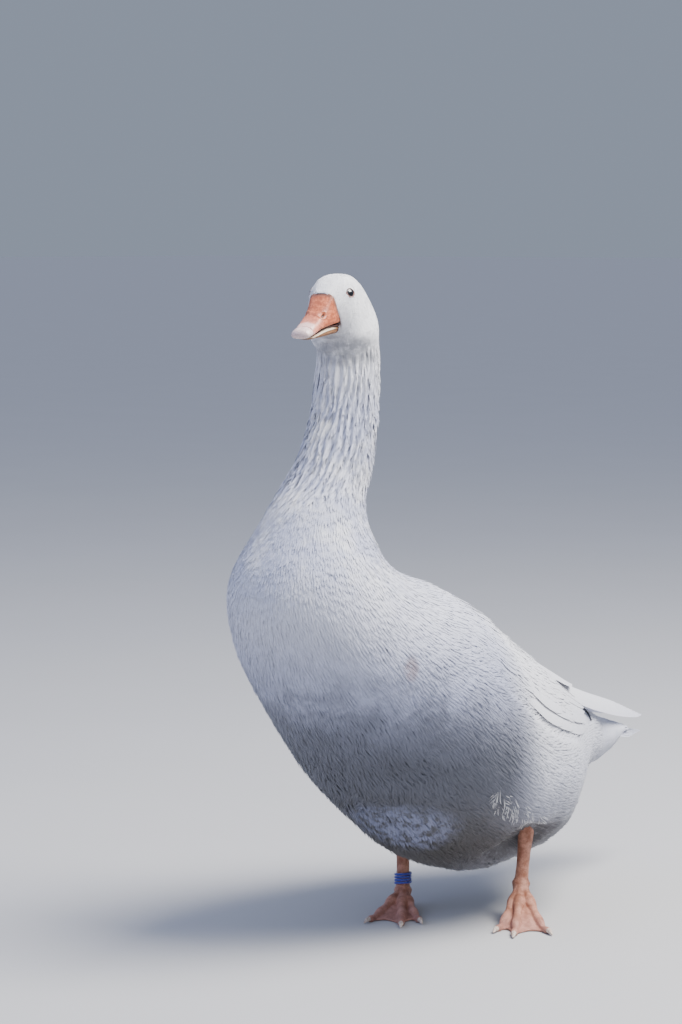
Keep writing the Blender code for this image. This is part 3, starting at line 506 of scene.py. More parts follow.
def turn_outward(made, weld=False):
    """Recalculates a closed mesh's normals; weld first joins the points that lie on one place."""
    shape = bmesh.new()
    shape.from_mesh(made.data)
    if weld:
        bmesh.ops.remove_doubles(shape, verts=list(shape.verts), dist=1e-6)
    bmesh.ops.recalc_face_normals(shape, faces=list(shape.faces))
    if shape.calc_volume(signed=True) < 0:
        bmesh.ops.reverse_faces(shape, faces=list(shape.faces))
    shape.to_mesh(made.data)
    shape.free()
    return made


def counts(pieces):
    """How many faces each piece has."""
    return [len(piece.data.polygons) for piece in pieces]


print("a 3 by 4 grid has", len(grid_faces(3, 4)), "triangles")

# %% [markdown]
# ## The plumage finish
#
# White feathers are not one flat white. Each tuft is a little lighter or darker than the next,
# darker at its root, where the others cover it (painted shade), and fine barbs run along it. Shade
# is painted over the lower body as well: a bluish painted shade that deepens toward the ground,
# painted shade with some grey dirt on the lower flank and breast, painted shadow with mud on the
# belly, a bluish painted shade on the neck, and a grey painted shade with some dirt under the
# throat. There is one small brown stain on its left side. The masks are formulas of the place on
# the body, so the skin and every feather over it carry the same markings.

# %% Plumage finish
WHITE = (0.88, 0.88, 0.89)
ROOT_WHITE = (0.78, 0.78, 0.81)
SKIN_WHITE = (0.74, 0.74, 0.76)
BORDER = (0.10, 0.055, 0.045)
BARB_DEPTH = 0.0005
# SHADED is the bluish colour of white feathers in shade. It is painted on the lower body, the neck and
# one patch.
SHADED = (0.30, 0.34, 0.54)
# Painted shadow under the belly and the fold, mixed with mud.
MUD_AND_SHADOW = (0.030, 0.026, 0.023)
# Painted shade on the lower flank and breast, with some grey dirt.
GREY_SHADE_AND_DIRT = (0.048, 0.052, 0.066)
STAIN = (0.20, 0.10, 0.07)
# Grey painted shade under the throat, with some dirt.
THROAT_SHADE_AND_DIRT = (0.22, 0.225, 0.25)
# Spots: painted shade with dirt under the throat, painted shadow with mud under the fold over the left
# leg, a patch of the bluish painted shade on the front of the belly, and a brown stain.
SPOTS = (
    ((0.026, -0.214, 0.640), (0.036, 0.034, 0.012), (0.22, 0.60), 0.75, THROAT_SHADE_AND_DIRT),
    ((0.085, -0.005, 0.090), (0.045, 0.050, 0.026), (0.20, 0.50), 0.75, MUD_AND_SHADOW),
    ((0.040, -0.150, 0.115), (0.050, 0.040, 0.026), (0.35, 0.60), 0.60, SHADED),
    ((0.117, -0.218, 0.313), (0.0045, 0.0065, 0.0095), (0.1875, 0.50), 0.50, STAIN),
)


def markings(look, base):
    """
    The base colour with the painted shade and dirt of the flank, breast and belly and the painted
    shade of the neck laid over it, and then the spots: each has a middle, its reach, the two steps
    of the fine noise in it, a strength and a colour.
    """
    place = look.place()
    _, y, z = look.axes(place)
    wide = look.noise(26.0, 3.0, 0.6, place)
    fine = look.noise(95.0, 3.0, 0.65, place)
    # Painted shade: the lower body darkens and turns bluish toward the ground, less at the rear (rear),
    # with painted shade on the thigh (behind). Dirt is mixed into the flank, breast and belly.
    rear = y.step(-0.085, -0.010)
    patchy = wide * 0.9 + fine * 0.9
    low = (patchy + z.step(0.14, 0.06) * 0.40).step(0.42, 1.00)
    side = (wide * 0.8 + fine * 0.6 + z.step(0.29, 0.20) * 0.6).step(0.25, 0.95)
    belly = z.step(0.185, 0.085) * low * (1 - rear * 0.30)
    flank = z.step(0.345, 0.190) * side * (1 - rear * 0.80)
    breast = z.step(0.40, 0.22) * y.step(-0.06, -0.20) * (wide * 1.1 + fine * 0.5).step(0.60, 1.05)
    # A bluish painted shade on the sides of the neck.
    neck_shade = z.step(0.34, 0.44) * z.step(0.66, 0.56) * (wide * 0.8 + fine * 0.4).step(0.34, 0.74)
    behind = z.step(0.25, 0.12) * rear * (fine * 0.5 + 0.15)
    shaded = z.step(0.47, 0.26) * (1 - rear * 0.82) * 0.80 + behind
    layers = [(shaded, SHADED), (flank * 0.90, GREY_SHADE_AND_DIRT), (breast * 0.45, GREY_SHADE_AND_DIRT)]
    layers += [(neck_shade * 0.66, SHADED), (belly * 0.92, MUD_AND_SHADOW)]
    for middle, reach, steps, strength, colour in SPOTS:
        layers.append((look.near(middle, reach) * fine.step(*steps) * strength, colour))
    for share, colour in layers:
        base = blend(share, base, colour)
    return base


def plumage_finish(name, bright_tips=False):
    """White feathers: markings of painted shade and dirt, tuft-to-tuft differences, roots darkened as
    painted shade, and fine barbs in relief.
    """
    look = Finish(name, Roughness=0.78, Sheen_Weight=0.25, Sheen_Roughness=0.5)
    shade = look.attribute("shade")
    share = look.attribute("share")
    barbs = look.noise(1.0, 2.0, 0.6, look.attribute("barbs", out=1))
    # Tone: random per tuft, with the barbs, and darker toward the root, where the others cover it:
    # painted shade.
    tone = (shade * 0.5 + share.step(0.0, 0.9) * 0.35 + barbs * 0.35) - 0.1
    base = blend(tone.step(0.0, 1.0), ROOT_WHITE, WHITE)
    colour = markings(look, base)
    # The tips keep the plain white and lose most of the painted shade and dirt.
    if bright_tips:
        colour = blend(share.step(0.15, 1.0) * 0.75, colour, base)
    look.feed("Base Color", colour)
    look.bump(barbs, BARB_DEPTH, 0.6)
    return look


plumage = plumage_finish("plumage")
bright_tipped_plumage = plumage_finish("plumage_bright_tips", bright_tips=True)
skin_finish = Finish("plumage_skin", Roughness=0.85)
skin_colour = markings(skin_finish, blend(skin_finish.noise(300.0), SKIN_WHITE, WHITE))
skin_finish.feed("Base Color", blend(skin_finish.attribute("border"), skin_colour, BORDER))
print("plumage nodes", len(plumage.tree.nodes))

# %% [markdown]
# ## One skin
#
# The skin is a single closed tube from the tail root to the bill, so no seam shows where the CAD
# model has its joints. It lies under the coat by the coat's depth, runs over each eyeball as a lid
# and dips under it where the eye is open.

# %% Skin
SKIN_GRID = (330, 144)
EYE_PLACE = (0.0242, 0.2377, 0.7011)
EYE_WAY = (0.88, 0.42, 0.27)
EYE_RADIUS = 0.0080
EYE_SINK = 0.0068
EYE_OPENING = (0.47, 0.58)
EYE_GAP = 0.0004
SOCKET_DEPTH = 0.0012
BORDER_ROWS = (18.18, 18.40)
CHIN_ANGLES = (95.0, 120.0)


def turned(x, forward, up):
    """The world point of one place given as plain numbers."""
    return turn_head(np.asarray(x, float), np.asarray(forward, float), np.asarray(up, float))


def head_step(x, forward):
    """A level step in the turned head's own directions, as a step in the world."""
    return turned(x, TURN_AXIS + forward, 1.0) - turned(0.0, TURN_AXIS, 1.0)


def eye_axis(side):
    """The unit direction in which an eye looks: outward, a little forward and up."""
    ahead = head_step(side * EYE_WAY[0], EYE_WAY[1])
    ahead[2] = EYE_WAY[2]
    return unit(ahead)


def eye_spot(side):
    """The place on the head's side, before the ball is set in, that an eye is made round."""
    return turned(side * EYE_PLACE[0], EYE_PLACE[1], EYE_PLACE[2])


def eye_centre(side):
    """The middle of the eyeball, set into the head from its spot."""
    return eye_spot(side) - eye_axis(side) * EYE_SINK


def clear_of_eyes(points, height):
    """
    Points pushed out of both eyeballs: round the lids to a little more than the ball's radius, and
    inside the opening, a cone round the line of sight, to less than it, so that the ball shows.
    """
    for side in (1, -1):
        away = points - eye_centre(side)
        reach = np.linalg.norm(away, axis=-1)
        turn = np.arccos(np.clip(away @ eye_axis(side) / (reach + 1e-9), -1.0, 1.0))
        covered = smooth(turn, *EYE_OPENING)
        outer = np.maximum(reach, EYE_RADIUS + EYE_GAP + 0.5 * height)
        inner = np.minimum(reach, EYE_RADIUS - SOCKET_DEPTH)
        wanted = np.where(reach < 2 * EYE_RADIUS, inner + (outer - inner) * covered, reach)
        points = points + away * (wanted / (reach + 1e-9) - 1)[..., None]
    return points


def skin_points(row, angle, height=0.0):
    """
    Points at a height over the skin, and the coat's normals there: the loft's normal, tilted
    against the slope of the relief along the rows and round the body.
    """
    point, normal, along, around = loft_frame(ROWS, row, angle)
    high = relief(row, angle)
    point = clear_of_eyes(point + normal * (high - coat_depth(row) + height)[..., None], height)
    step = 0.01
    for tangent, moved in ((along, relief(row + step, angle)), (around, relief(row, angle + step))):
        slope = (moved - high) / step / ((tangent**2).sum(axis=-1) + 1e-9)
        normal = normal - tangent * slope[..., None]
    return point, unit(normal)


def unroll(row, angle):
    """The OFBake place of a point of the skin: its angle across and its row upwards."""
    return np.stack([angle / (2 * math.pi), row / LAST_ROW], axis=-1) * 0.98 + 0.01


def make_skin():
    """
    The rows' grid with a doubled column at its seam, so that the OFBake map can end there, closed
    by a fan at the tail and one inside the bill. The border is dark where the bill starts.
    """
    rows, around = SKIN_GRID
    row = np.linspace(0.0, LAST_ROW, rows)[:, None]
    angle = np.linspace(0.0, 2 * math.pi, around + 1)[None, :]
    points, _ = skin_points(row, angle)
    ends = np.stack([points[0].mean(axis=0), points[-1].mean(axis=0)])
    column = np.arange(around)
    middle, top = rows * (around + 1), (rows - 1) * (around + 1)
    tail_cap = np.stack([column * 0 + middle, column + 1, column], -1)
    face_cap = np.stack([column * 0 + middle + 1, top + column, top + column + 1], -1)
    faces = np.concatenate([grid_faces(rows, around + 1), tail_cap, face_cap])
    row, angle = np.broadcast_arrays(row, angle)
    uv = np.concatenate([unroll(row, angle).reshape(-1, 2), [[0.5, 0.002], [0.5, 0.998]]])
    border = smooth(row, *BORDER_ROWS) * (1 - 0.9 * smooth(side_degrees(angle), *CHIN_ANGLES))
    maps = {"border": np.concatenate([border.ravel(), [0.0, 1.0]])}
    points = np.concatenate([points.reshape(-1, 3), ends])
    made = mesh_piece("goose_skin", points, faces, skin_finish, "plumage", uv, maps)
    return turn_outward(made, weld=True)


skin = make_skin()
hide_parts("torso", "neck", "head")
print("skin triangles", len(skin.data.polygons))

# %% [markdown]
# ## Where the tufts grow
#
# Feathers grow at even distances but not in straight rows that would show as stripes. Random
# places are drawn all over a stretch of skin, more where it is larger, and taken one after another
# only if no place already taken is too near. That leaves an even, natural scatter.


# %% Scatter
def scatter(rows, spacing, seed, keep=None):
    """
    Rows and angles of places on the skin that keep at least a spacing apart. Places are drawn
    by the area of the skin, and each one taken strikes out the later ones near it. The spacing
    may be a function of the row.
    """
    draw = np.random.default_rng(seed)
    cells = (160, 96)
    row = np.linspace(rows[0], rows[1], cells[0] + 1)
    row = (row[1:] + row[:-1])[:, None] / 2
    angle = (np.arange(cells[1])[None, :] + 0.5) / cells[1] * 2 * math.pi
    _, _, along, around = loft_frame(ROWS, row, angle)
    area = np.linalg.norm(np.cross(along, around), axis=-1)
    area = area * (rows[1] - rows[0]) / cells[0] * 2 * math.pi / cells[1]
    reach = np.broadcast_to(spacing(row) if callable(spacing) else spacing, area.shape)
    weight = (area / reach**2).ravel()
    count = int(weight.sum() * 5)
    chosen = draw.choice(weight.size, count, p=weight / weight.sum())
    i, j = np.divmod(chosen, cells[1])
    step = (rows[1] - rows[0]) / cells[0]
    row = rows[0] + (i + draw.random(count)) * step
    angle = (j + draw.random(count)) / cells[1] * 2 * math.pi
    gap = reach.ravel()[chosen]
    places = loft(ROWS, row, angle)
    tree = KDTree(count)
    for number, place in enumerate(places):
        tree.insert(place, number)
    tree.balance()
    free = np.ones(count, bool)
    taken = []
    for number in range(count):
        if free[number]:
            taken.append(number)
            for _, other, _ in tree.find_range(places[number], gap[number]):
                free[other] = False
    row, angle = row[taken], angle[taken]
    if keep is not None:
        kept = keep(row, angle)
        row, angle = row[kept], angle[kept]
    return row, angle


print("places on the neck at 9 mm:", len(scatter((10.0, 12.0), 0.009, 1)[0]))

# %% [markdown]
# ## A tuft
#
# A contour feather is soft: its barbs part into tufts that fan out from one root and end in a
# ragged rounded edge. Each tuft here is a thin closed sliver with a diamond section, widest a third
# of the way along, and its root sits near the skin while its tip rises to the outside of the coat,
# so that every feather's tip lies over the roots behind it, toward the tail. Real barbs let light
# through and look soft, so the slivers borrow the body's own normals for their shading.

# %% Tufts
TUFT_SHARES = np.array([0.0, 0.34, 0.72, 1.0])
TUFT_WIDTHS = np.array([0.45, 1.0, 0.80])
TUFT_SIDES = 4
SOFT = 0.35
TUFT_PATCH = 0.003
BARBS_ACROSS = 4200
BARBS_ALONG = 260
MOST_FACES = 190000


def tuft_faces(stations):
    """Triangles of one sliver: a diamond at each station, closed at the root, and a point."""
    ring = np.arange(TUFT_SIDES)
    after = (ring + 1) % TUFT_SIDES
    faces = [(2, 1, 0), (3, 2, 0)]
    for low in range(0, (stations - 1) * TUFT_SIDES, TUFT_SIDES):
        high = low + TUFT_SIDES
        faces += [(low + a, low + b, high + b) for a, b in zip(ring, after)]
        faces += [(low + a, high + b, high + a) for a, b in zip(ring, after)]
    last = (stations - 1) * TUFT_SIDES
    faces += [(last + a, last + b, last + TUFT_SIDES) for a, b in zip(ring, after)]
    return np.array(faces)


def tufts(row, angle, length, width, thick, low, high, sway, curl, draw):
    """
    Slivers laid along the skin toward the tail. Station k of a tuft lies its share of the length
    down the rows, swayed sideways, at a height that grows from low to high with the share to the
    power 1.3. Returns points, faces, the OFBake map and the attributes.
    """
    count = len(row)
    share = TUFT_SHARES[None, :]
    _, _, along, around = loft_frame(ROWS, row, angle)
    per_row = np.linalg.norm(along, axis=-1)[:, None]
    per_radian = np.linalg.norm(around, axis=-1)[:, None] + 1e-6
    path_row = row[:, None] - share * (length * np.cos(sway))[:, None] / per_row
    bend = share + curl[:, None] * share * (1 - share)
    path_angle = angle[:, None] + bend * (length * np.sin(sway))[:, None] / per_radian
    path_row = np.clip(path_row, 0.02, LAST_ROW)
    height = low[:, None] + (high - low)[:, None] * share**1.3
    centre, normal = skin_points(path_row, path_angle, height)
    heading = np.gradient(centre, axis=1)
    across = unit(np.cross(normal, heading))
    half = (width / 2)[:, None] * TUFT_WIDTHS[None, :]
    deep = thick[:, None] * TUFT_WIDTHS[None, :]
    body, side, up = centre[:, :-1], across[:, :-1], normal[:, :-1]
    ring = np.stack(
        [
            body - side * half[..., None],
            body - up * (deep * 0.4)[..., None],
            body + side * half[..., None],
            body + up * (deep * 0.6)[..., None],
        ],
        axis=2,
    )
    points = np.concatenate([ring.reshape(count, -1, 3), centre[:, -1:]], axis=1)
    lit = np.stack([up - side * SOFT, side * 0 - up, up + side * SOFT, up + side * 0], axis=2)
    lit = np.concatenate([lit.reshape(count, -1, 3), normal[:, -1:]], axis=1)
    size = points.shape[1]
    faces = tuft_faces(len(TUFT_WIDTHS))
    faces = faces[None] + (np.arange(count) * size)[:, None, None]
    local_u = np.tile([0.0, 0.5, 1.0, 0.5], len(TUFT_WIDTHS)).tolist() + [0.5]
    local_v = np.repeat(TUFT_SHARES[:-1], TUFT_SIDES).tolist() + [1.0]
    local = np.stack([local_u, local_v], -1)
    uv = unroll(row, angle % (2 * math.pi))[:, None, :] + (local[None] - 0.5) * TUFT_PATCH
    tone = np.repeat(draw.random(count), size)
    shares = np.tile(local[:, 1], count)
    start = draw.random((count, 1)) * 900
    barb_u = local[None, :, 0] * (width[:, None] * BARBS_ACROSS) + start
    barb_v = local[None, :, 1] * (length[:, None] * BARBS_ALONG) + start * 0.37
    barbs = np.stack([barb_u, barb_v, barb_u * 0], -1)
    maps = {"shade": tone, "share": shares, "barbs": barbs.reshape(-1, 3), "lit": lit.reshape(-1, 3)}
    return points, faces.reshape(-1, 3), uv, maps


def coat_piece(name, parts, finish):
    """Tufts as one piece, or as numbered pieces of fewer triangles than MOST_FACES each."""
    points, faces, uv, maps = parts
    size, per = points.shape[1], len(faces) // len(points)
    limit = MOST_FACES // per
    made = []
    for start in range(0, len(points), limit):
        stop = min(start + limit, len(points))
        title = name if len(points) <= limit else f"{name}_{len(made) + 1}"
        picked = {label: values[start * size : stop * size] for label, values in maps.items()}
        lit = picked.pop("lit")
        shape = points[start:stop], faces[start * per : stop * per] - start * size
        made.append(mesh_piece(title, *shape, finish, "plumage", uv[start:stop], picked, lit))
    return made


print("a tuft has", len(tuft_faces(3)), "triangles")

# %% [markdown]
# ## The coat of the body
#
# Each place on the body carries one contour feather of several tufts in a fan: the middle tuft is
# the longest, the outer ones start a little to the side and end short, which rounds the feather's
# edge. The breast and back lie smooth, the belly is loose and tufty, and none grow under the wings.


# %% Fans of tufts
FRINGE_SPACING = 0.0050
FRINGE_ROWS = (4.00, 5.10)
FRINGE_ANGLES = (109, 115)
UNDER_WING_ROWS = (0.9, 5.6)
UNDER_WING_ANGLES = (6, 62)
TAIL_END = 0.15
BELLY_ANGLES = (108, 140)
BELLY_ROWS = (6.2, 7.4)
TILED_ANGLES = (66, 74, 104, 122)
TILED_ROWS = (2.0, 3.2, 6.0, 7.5)
LEDGE_ANGLES = (60, 66, 71, 80)
LEDGE_ROWS = (1.6, 2.8, 6.2, 7.2)


def fans(row, angle, size, rise, disorder, seed, count=5, gather=0.0, upward=0.0):
    """
    Contour feathers as fans. The size is length, width, the fan's width and thickness, and the
    rise is the height of the roots and of the tips; each is one number or one for every feather.
    Tuft j of a fan starts a share of the fan's half width to the side, is shorter by the square
    of that share, and turns outward a little. All draws are seeded.
    """
    draw = np.random.default_rng(seed)
    total = len(row)
    values = (*size, *rise, disorder, gather, upward)
    length, width, fan, thick, low, high, disorder, gather, upward = (
        np.broadcast_to(value, total)[:, None] for value in values
    )
    spread = np.linspace(-1.0, 1.0, count)[None, :]
    _, _, _, around = loft_frame(ROWS, row, angle)
    per_radian = np.linalg.norm(around, axis=-1)[:, None] + 1e-6
    lean = draw.normal(0.0, 1.0, (total, 1)) * disorder + upward
    side = spread * (fan / 2) * (0.75 + 0.25 * draw.random((total, count)))
    angles = angle[:, None] + side / per_radian
    rows = row[:, None] + draw.normal(0.0, 0.012, (total, count))
    lengths = length * (1 - 0.22 * spread**2) * draw.uniform(0.86, 1.10, (total, count))
    wobble = draw.normal(0.0, 0.35, (total, count)) * disorder
    sway = lean + spread * (0.07 - gather) + wobble
    curl = draw.normal(0.0, 0.5, (total, count))
    lift = 1 + draw.normal(0.0, 0.12, (total, 1)) + draw.normal(0.0, 0.10, (total, count))
    top = high * lift - 0.0004 * spread**2
    wide = width * draw.uniform(0.8, 1.2, (total, count))
    laid = (rows, angles, lengths, wide, thick, low, top, sway, curl)
    return tufts(*(np.broadcast_to(value, (total, count)).ravel() for value in laid), draw)


def bare_of_wing(row, angle):
    """True where the skin isn't under a folded wing's large feathers, and not at the tail's end."""
    degrees = side_degrees(angle)
    under = (degrees > UNDER_WING_ANGLES[0]) & (degrees < UNDER_WING_ANGLES[1])
    under &= (row > UNDER_WING_ROWS[0]) & (row < UNDER_WING_ROWS[1])
    return ~under & (row > TAIL_END)


def body_coat():
    """
    Feathers 20 mm long and 12.5 mm wide, closer and smaller toward the neck, longer on the flank
    and on the ledge over the wing's lower edge, and loose and thick on the belly.
    """
    spacing = lambda row: 0.0058 - 0.0012 * smooth(row, 7.5, 9.3)
    row, angle = scatter((TAIL_END, 9.6), spacing, 11, bare_of_wing)
    degrees = side_degrees(angle)
    loose = smooth(degrees, *BELLY_ANGLES) * (1 - smooth(row, *BELLY_ROWS))
    flank = plateau(degrees, TILED_ANGLES) * plateau(row, TILED_ROWS)
    ledge = plateau(degrees, LEDGE_ANGLES) * plateau(row, LEDGE_ROWS)
    near_neck = smooth(row, 7.8, 9.6)
    length = 0.0200 + 0.005 * loose + 0.003 * flank + 0.004 * ledge - 0.005 * near_neck
    width = 0.0031 + 0.0004 * loose
    fan = 0.0125 + 0.001 * loose - 0.003 * near_neck
    thick = 0.00028 + 0.00045 * loose + 0.00012 * flank
    depth = coat_depth(row)
    low = depth * (0.55 - 0.35 * loose)
    high = depth * (0.92 + 0.25 * loose + 0.05 * flank + 0.15 * ledge)
    disorder = 0.07 + 0.26 * loose + 0.03 * flank
    upward = -0.45 * ledge * np.sign(np.sin(angle))
    return fans(row, angle, (length, width, fan, thick), (low, high), disorder, 12, upward=upward)


def over_the_pocket(row, angle):
    """True in a narrow band above the pocket, on the left side only."""
    degrees = side_degrees(angle)
    return (degrees > FRINGE_ANGLES[0]) & (degrees < FRINGE_ANGLES[1]) & (np.sin(angle) > 0)


def fringe_coat():
    """Loose feathers that hang over the pocket from which the left shank comes, with tips mostly free of
    the painted shade and dirt.
    """
    row, angle = scatter(FRINGE_ROWS, FRINGE_SPACING, 13, over_the_pocket)
    depth = coat_depth(row)
    rise = (depth * 0.5, depth * 1.25)
    return fans(row, angle, (0.020, 0.0013, 0.010, 0.0003), rise, 0.38, 14, upward=0.80)


body = coat_piece("coat_body", body_coat(), plumage)
fringe = coat_piece("coat_fringe", fringe_coat(), bright_tipped_plumage)
print("body coat", counts(body + fringe))

# %% [markdown]
# ## The neck and the head
#
# The neck feathers of a goose are grooved: they lie in locks that gather toward their tips, with
# dark furrows between them, and their ends break the outline. On the face the feathers are the
# smallest on the bird, a few millimetres long, and lie so flat that the head looks like velvet.


# %% Neck and head coats
NECK_SPACING = 0.0044
NECK_STRETCH = (8.9, 13.9)
HEAD_SPACING = 0.0019
HEAD_STRETCH = (12.7, 18.75)
HEAD_ROWS = (13.2, 14.5, 17.0, 19.0)
HEAD_LENGTHS = (0.0125, 0.0095, 0.0064, 0.0036)
EYE_CLEAR = 0.0052


def neck_coat():
    """Narrow fans whose tufts gather into locks, thicker and higher than on the body."""
    row, angle = scatter(NECK_STRETCH, NECK_SPACING, 21)
    low = smooth(row, 9.9, 11.0)
    high = smooth(row, 13.0, 13.8)
    length = 0.0165 + 0.004 * low - 0.010 * high
    width = 0.0024 - 0.0004 * low - 0.0006 * high
    fan = 0.0095 - 0.0040 * low - 0.001 * high
    thick = 0.00026 + 0.00018 * low * (1 - high)
    depth = coat_depth(row)
    top = depth * (0.86 + 0.36 * low * (1 - high))
    disorder = 0.06 + 0.05 * low
    gather = 0.30 * low * (1 - high)
    size = (length, width, fan, thick)
    return fans(row, angle, size, (depth * 0.5, top), disorder, 22, gather=gather)


def off_the_eyes(row, angle):
    """True where a face feather's root is clear of the lids and bill, above a ragged edge."""
    places = loft(ROWS, row, angle)
    away = [np.linalg.norm(places - eye_spot(side), axis=-1) for side in (1, -1)]
    ragged = 0.30 * np.sin(11 * angle) + 0.20 * np.sin(23 * angle + 1.0)
    below = smooth(side_degrees(angle), *CHIN_ANGLES)
    return (np.minimum(*away) > EYE_CLEAR) & (row > 13.25 + ragged) & (row < 18.38 + 0.35 * below)


def head_coat():
    """Pairs of slivers that get shorter from the neck to the bill and lie almost flat."""
    row, angle = scatter(HEAD_STRETCH, HEAD_SPACING, 31, off_the_eyes)
    length = np.interp(row, HEAD_ROWS, HEAD_LENGTHS)
    width = 0.00145
    depth = coat_depth(row)
    size = (length, width, width * 1.2, width * 0.13)
    return fans(row, angle, size, (depth * 0.60, depth * 0.92), 0.07, 32, count=2)


neck = coat_piece("coat_neck", neck_coat(), plumage)
head = coat_piece("coat_head", head_coat(), plumage)
print("neck and head coats", counts(neck + head))

# %% [markdown]
# ## Vanes
#
# A large feather is a stiff shaft with a flat vane on each side. Here it is a thin closed sheet
# laid over the body: it follows the body's curve across and along, widens quickly from its root,
# and rounds off at its tip. Its middle is raised along the shaft, and each one is tilted like a
# tile, so that its lower edge lies over the next one below it.

# %% Vane helpers
VANE_SHARES = (0.0, 0.08, 0.22, 0.5, 0.76, 0.90, 0.97, 1.0)
VANE_WIDTHS = (0.40, 0.66, 0.92, 1.0, 0.96, 0.74, 0.42, 0.08)
VANE_THICK = 0.00042
VANE_SOFT = 0.10
VANE_PATCH = 0.012
SHAFT_RISE = 0.0005
VANE_BARBS = 2600


def vane_width(share):
    """The share of a vane's full width at a share of its length."""
    return np.interp(share, VANE_SHARES, VANE_WIDTHS)


def vane_grid(rows, columns):
    """The share of the length down a vane's rows, and from -1 to 1 across its columns."""
    return np.linspace(0.0, 1.0, rows)[None, :, None], np.linspace(-1.0, 1.0, columns)[None, None, :]


def sheet_faces(rows, columns):
    """Triangles of a closed thin sheet: its top, its underside and the strip between them."""
    top = grid_faces(rows, columns)
    size = rows * columns
    rim = [(0, j) for j in range(columns)] + [(i, columns - 1) for i in range(1, rows)]
    rim += [(rows - 1, j) for j in range(columns - 2, -1, -1)] + [(i, 0) for i in range(rows - 2, 0, -1)]
    loop = np.array([i * columns + j for i, j in rim])
    after = np.roll(loop, -1)
    sides = np.stack([loop, after + size, after], -1), np.stack([loop, loop + size, after + size], -1)
    return np.concatenate([top, top[:, ::-1] + size, *sides])


def vane_mesh(top, under, face, roots, patch, half, length, draw, side=1):
    """
    Joins vanes given as arrays of their upper and lower points and the way their faces look; roots
    are their OFBake places. The barbs run aslant to the shaft. Side -1 mirrors everything, and
    turns the triangles round with it.
    """
    count, rows, columns = top.shape[:3]
    size = rows * columns
    mirror = np.array([side, 1.0, 1.0])
    top, under, face = (part.reshape(count, size, 3) * mirror for part in (top, under, face))
    faces = sheet_faces(rows, columns)[:, ::side]
    faces = (faces[None] + (np.arange(count) * 2 * size)[:, None, None]).reshape(-1, 3)
    share, across = vane_grid(rows, columns)
    run = share * length[:, None, None] + 0.9 * np.abs(across) * half[:, None, None]
    start = draw.random((count, 1, 1)) * 50
    barbs = np.broadcast_arrays(run * VANE_BARBS + start, across * 3.0 + start, start)
    tone = draw.random((count, 1, 1, 1))
    local = np.meshgrid(np.linspace(-0.5, 0.5, columns), np.linspace(-0.5, 0.5, rows))
    uv = roots[:, None, None, :] + np.stack(local, -1)[None] * patch

    def doubled(values):
        """A value for each upper point, and the same again for the lower ones."""
        values = np.broadcast_to(values, (count, rows, columns, values.shape[-1]))
        return np.concatenate([values.reshape(count, size, -1)] * 2, axis=1)

    # The share makes each vane darker toward its root, where the feathers over it cover it: painted
    # shade.
    maps = {"shade": doubled(tone).ravel(), "share": doubled((0.45 + 0.55 * share)[..., None]).ravel()}
    maps["barbs"] = doubled(np.stack(barbs, -1)).reshape(-1, 3)
    maps["lit"] = np.concatenate([face, -face], axis=1).reshape(-1, 3)
    return np.concatenate([top, under], axis=1), faces, doubled(uv), maps


def laid_vanes(rows, ends, degrees, half_degrees, lifts, tilt, side, draw, grid=(13, 7)):
    """
    Vanes laid on a loft from one row to another. Height over the loft is the root's, then the
    tier's lift, plus the tile's tilt across, plus a raised shaft; the width follows vane_width.
    """
    count = len(degrees)
    share, across = vane_grid(*grid)
    wide = half_degrees[:, None, None] * vane_width(share)
    row = ends[:, :1, None] + (ends[:, 1:, None] - ends[:, :1, None]) * share + across * 0
    turn = degrees[:, None, None] + wide * across
    rise = smooth(share, 0.0, 0.3)
    height = lifts[:, :1, None] + (lifts[:, 1:, None] - lifts[:, :1, None]) * rise
    height = height + tilt * across * vane_width(share) + SHAFT_RISE * (1 - np.abs(across)) ** 2
    # One draw for each vane isn't used; without it all the feathers after it would come out anew
    draw.normal(0, 1, (count, 1, 1))
    point, normal, _, around = loft_frame(rows, row, np.radians(turn))
    top = point + normal * height[..., None]
    thin = VANE_THICK * (1 - 0.6 * np.abs(across)) * (1 - 0.5 * share) + row * 0
    under = top - normal * thin[..., None]
    half = np.radians(half_degrees) * np.linalg.norm(around[:, grid[0] // 2, grid[1] // 2], axis=-1)
    middle = top[:, :, grid[1] // 2]
    length = np.linalg.norm(np.diff(middle, axis=1), axis=-1).sum(axis=1)
    roots = np.stack([0.05 + 0.9 * degrees / 180.0, 0.05 + 0.9 * ends[:, 0] / (len(rows) - 1)], -1)
    tilted = normal + unit(around) * (VANE_SOFT * across)[..., None]
    return vane_mesh(top, under, tilted, roots, VANE_PATCH, half, length, draw, side)


def vane_piece(name, parts):
    """Several sets of vanes as one piece of plumage."""
    points, faces = stacked([part[:2] for part in parts])
    uv = np.concatenate([part[2].reshape(-1, 2) for part in parts])
    maps = {label: np.concatenate([part[3][label] for part in parts]) for label in parts[0][3]}
    lit = maps.pop("lit")
    return mesh_piece(name, points, faces, plumage, "plumage", uv, maps, lit)


print("a vane has", len(sheet_faces(13, 7)), "triangles")

# %% [markdown]
# ## The folded wings
#
# What shows of a folded wing are its feather tiers: small coverts over its front, then scapulars
# from the back line, greater coverts, and under them the tertials and secondaries, whose tips end
# over the rump. The long primaries of the hand stack up into one blade that reaches past the tail.
# All tiers share one set of lines round the body, each line a feather's width from the next.

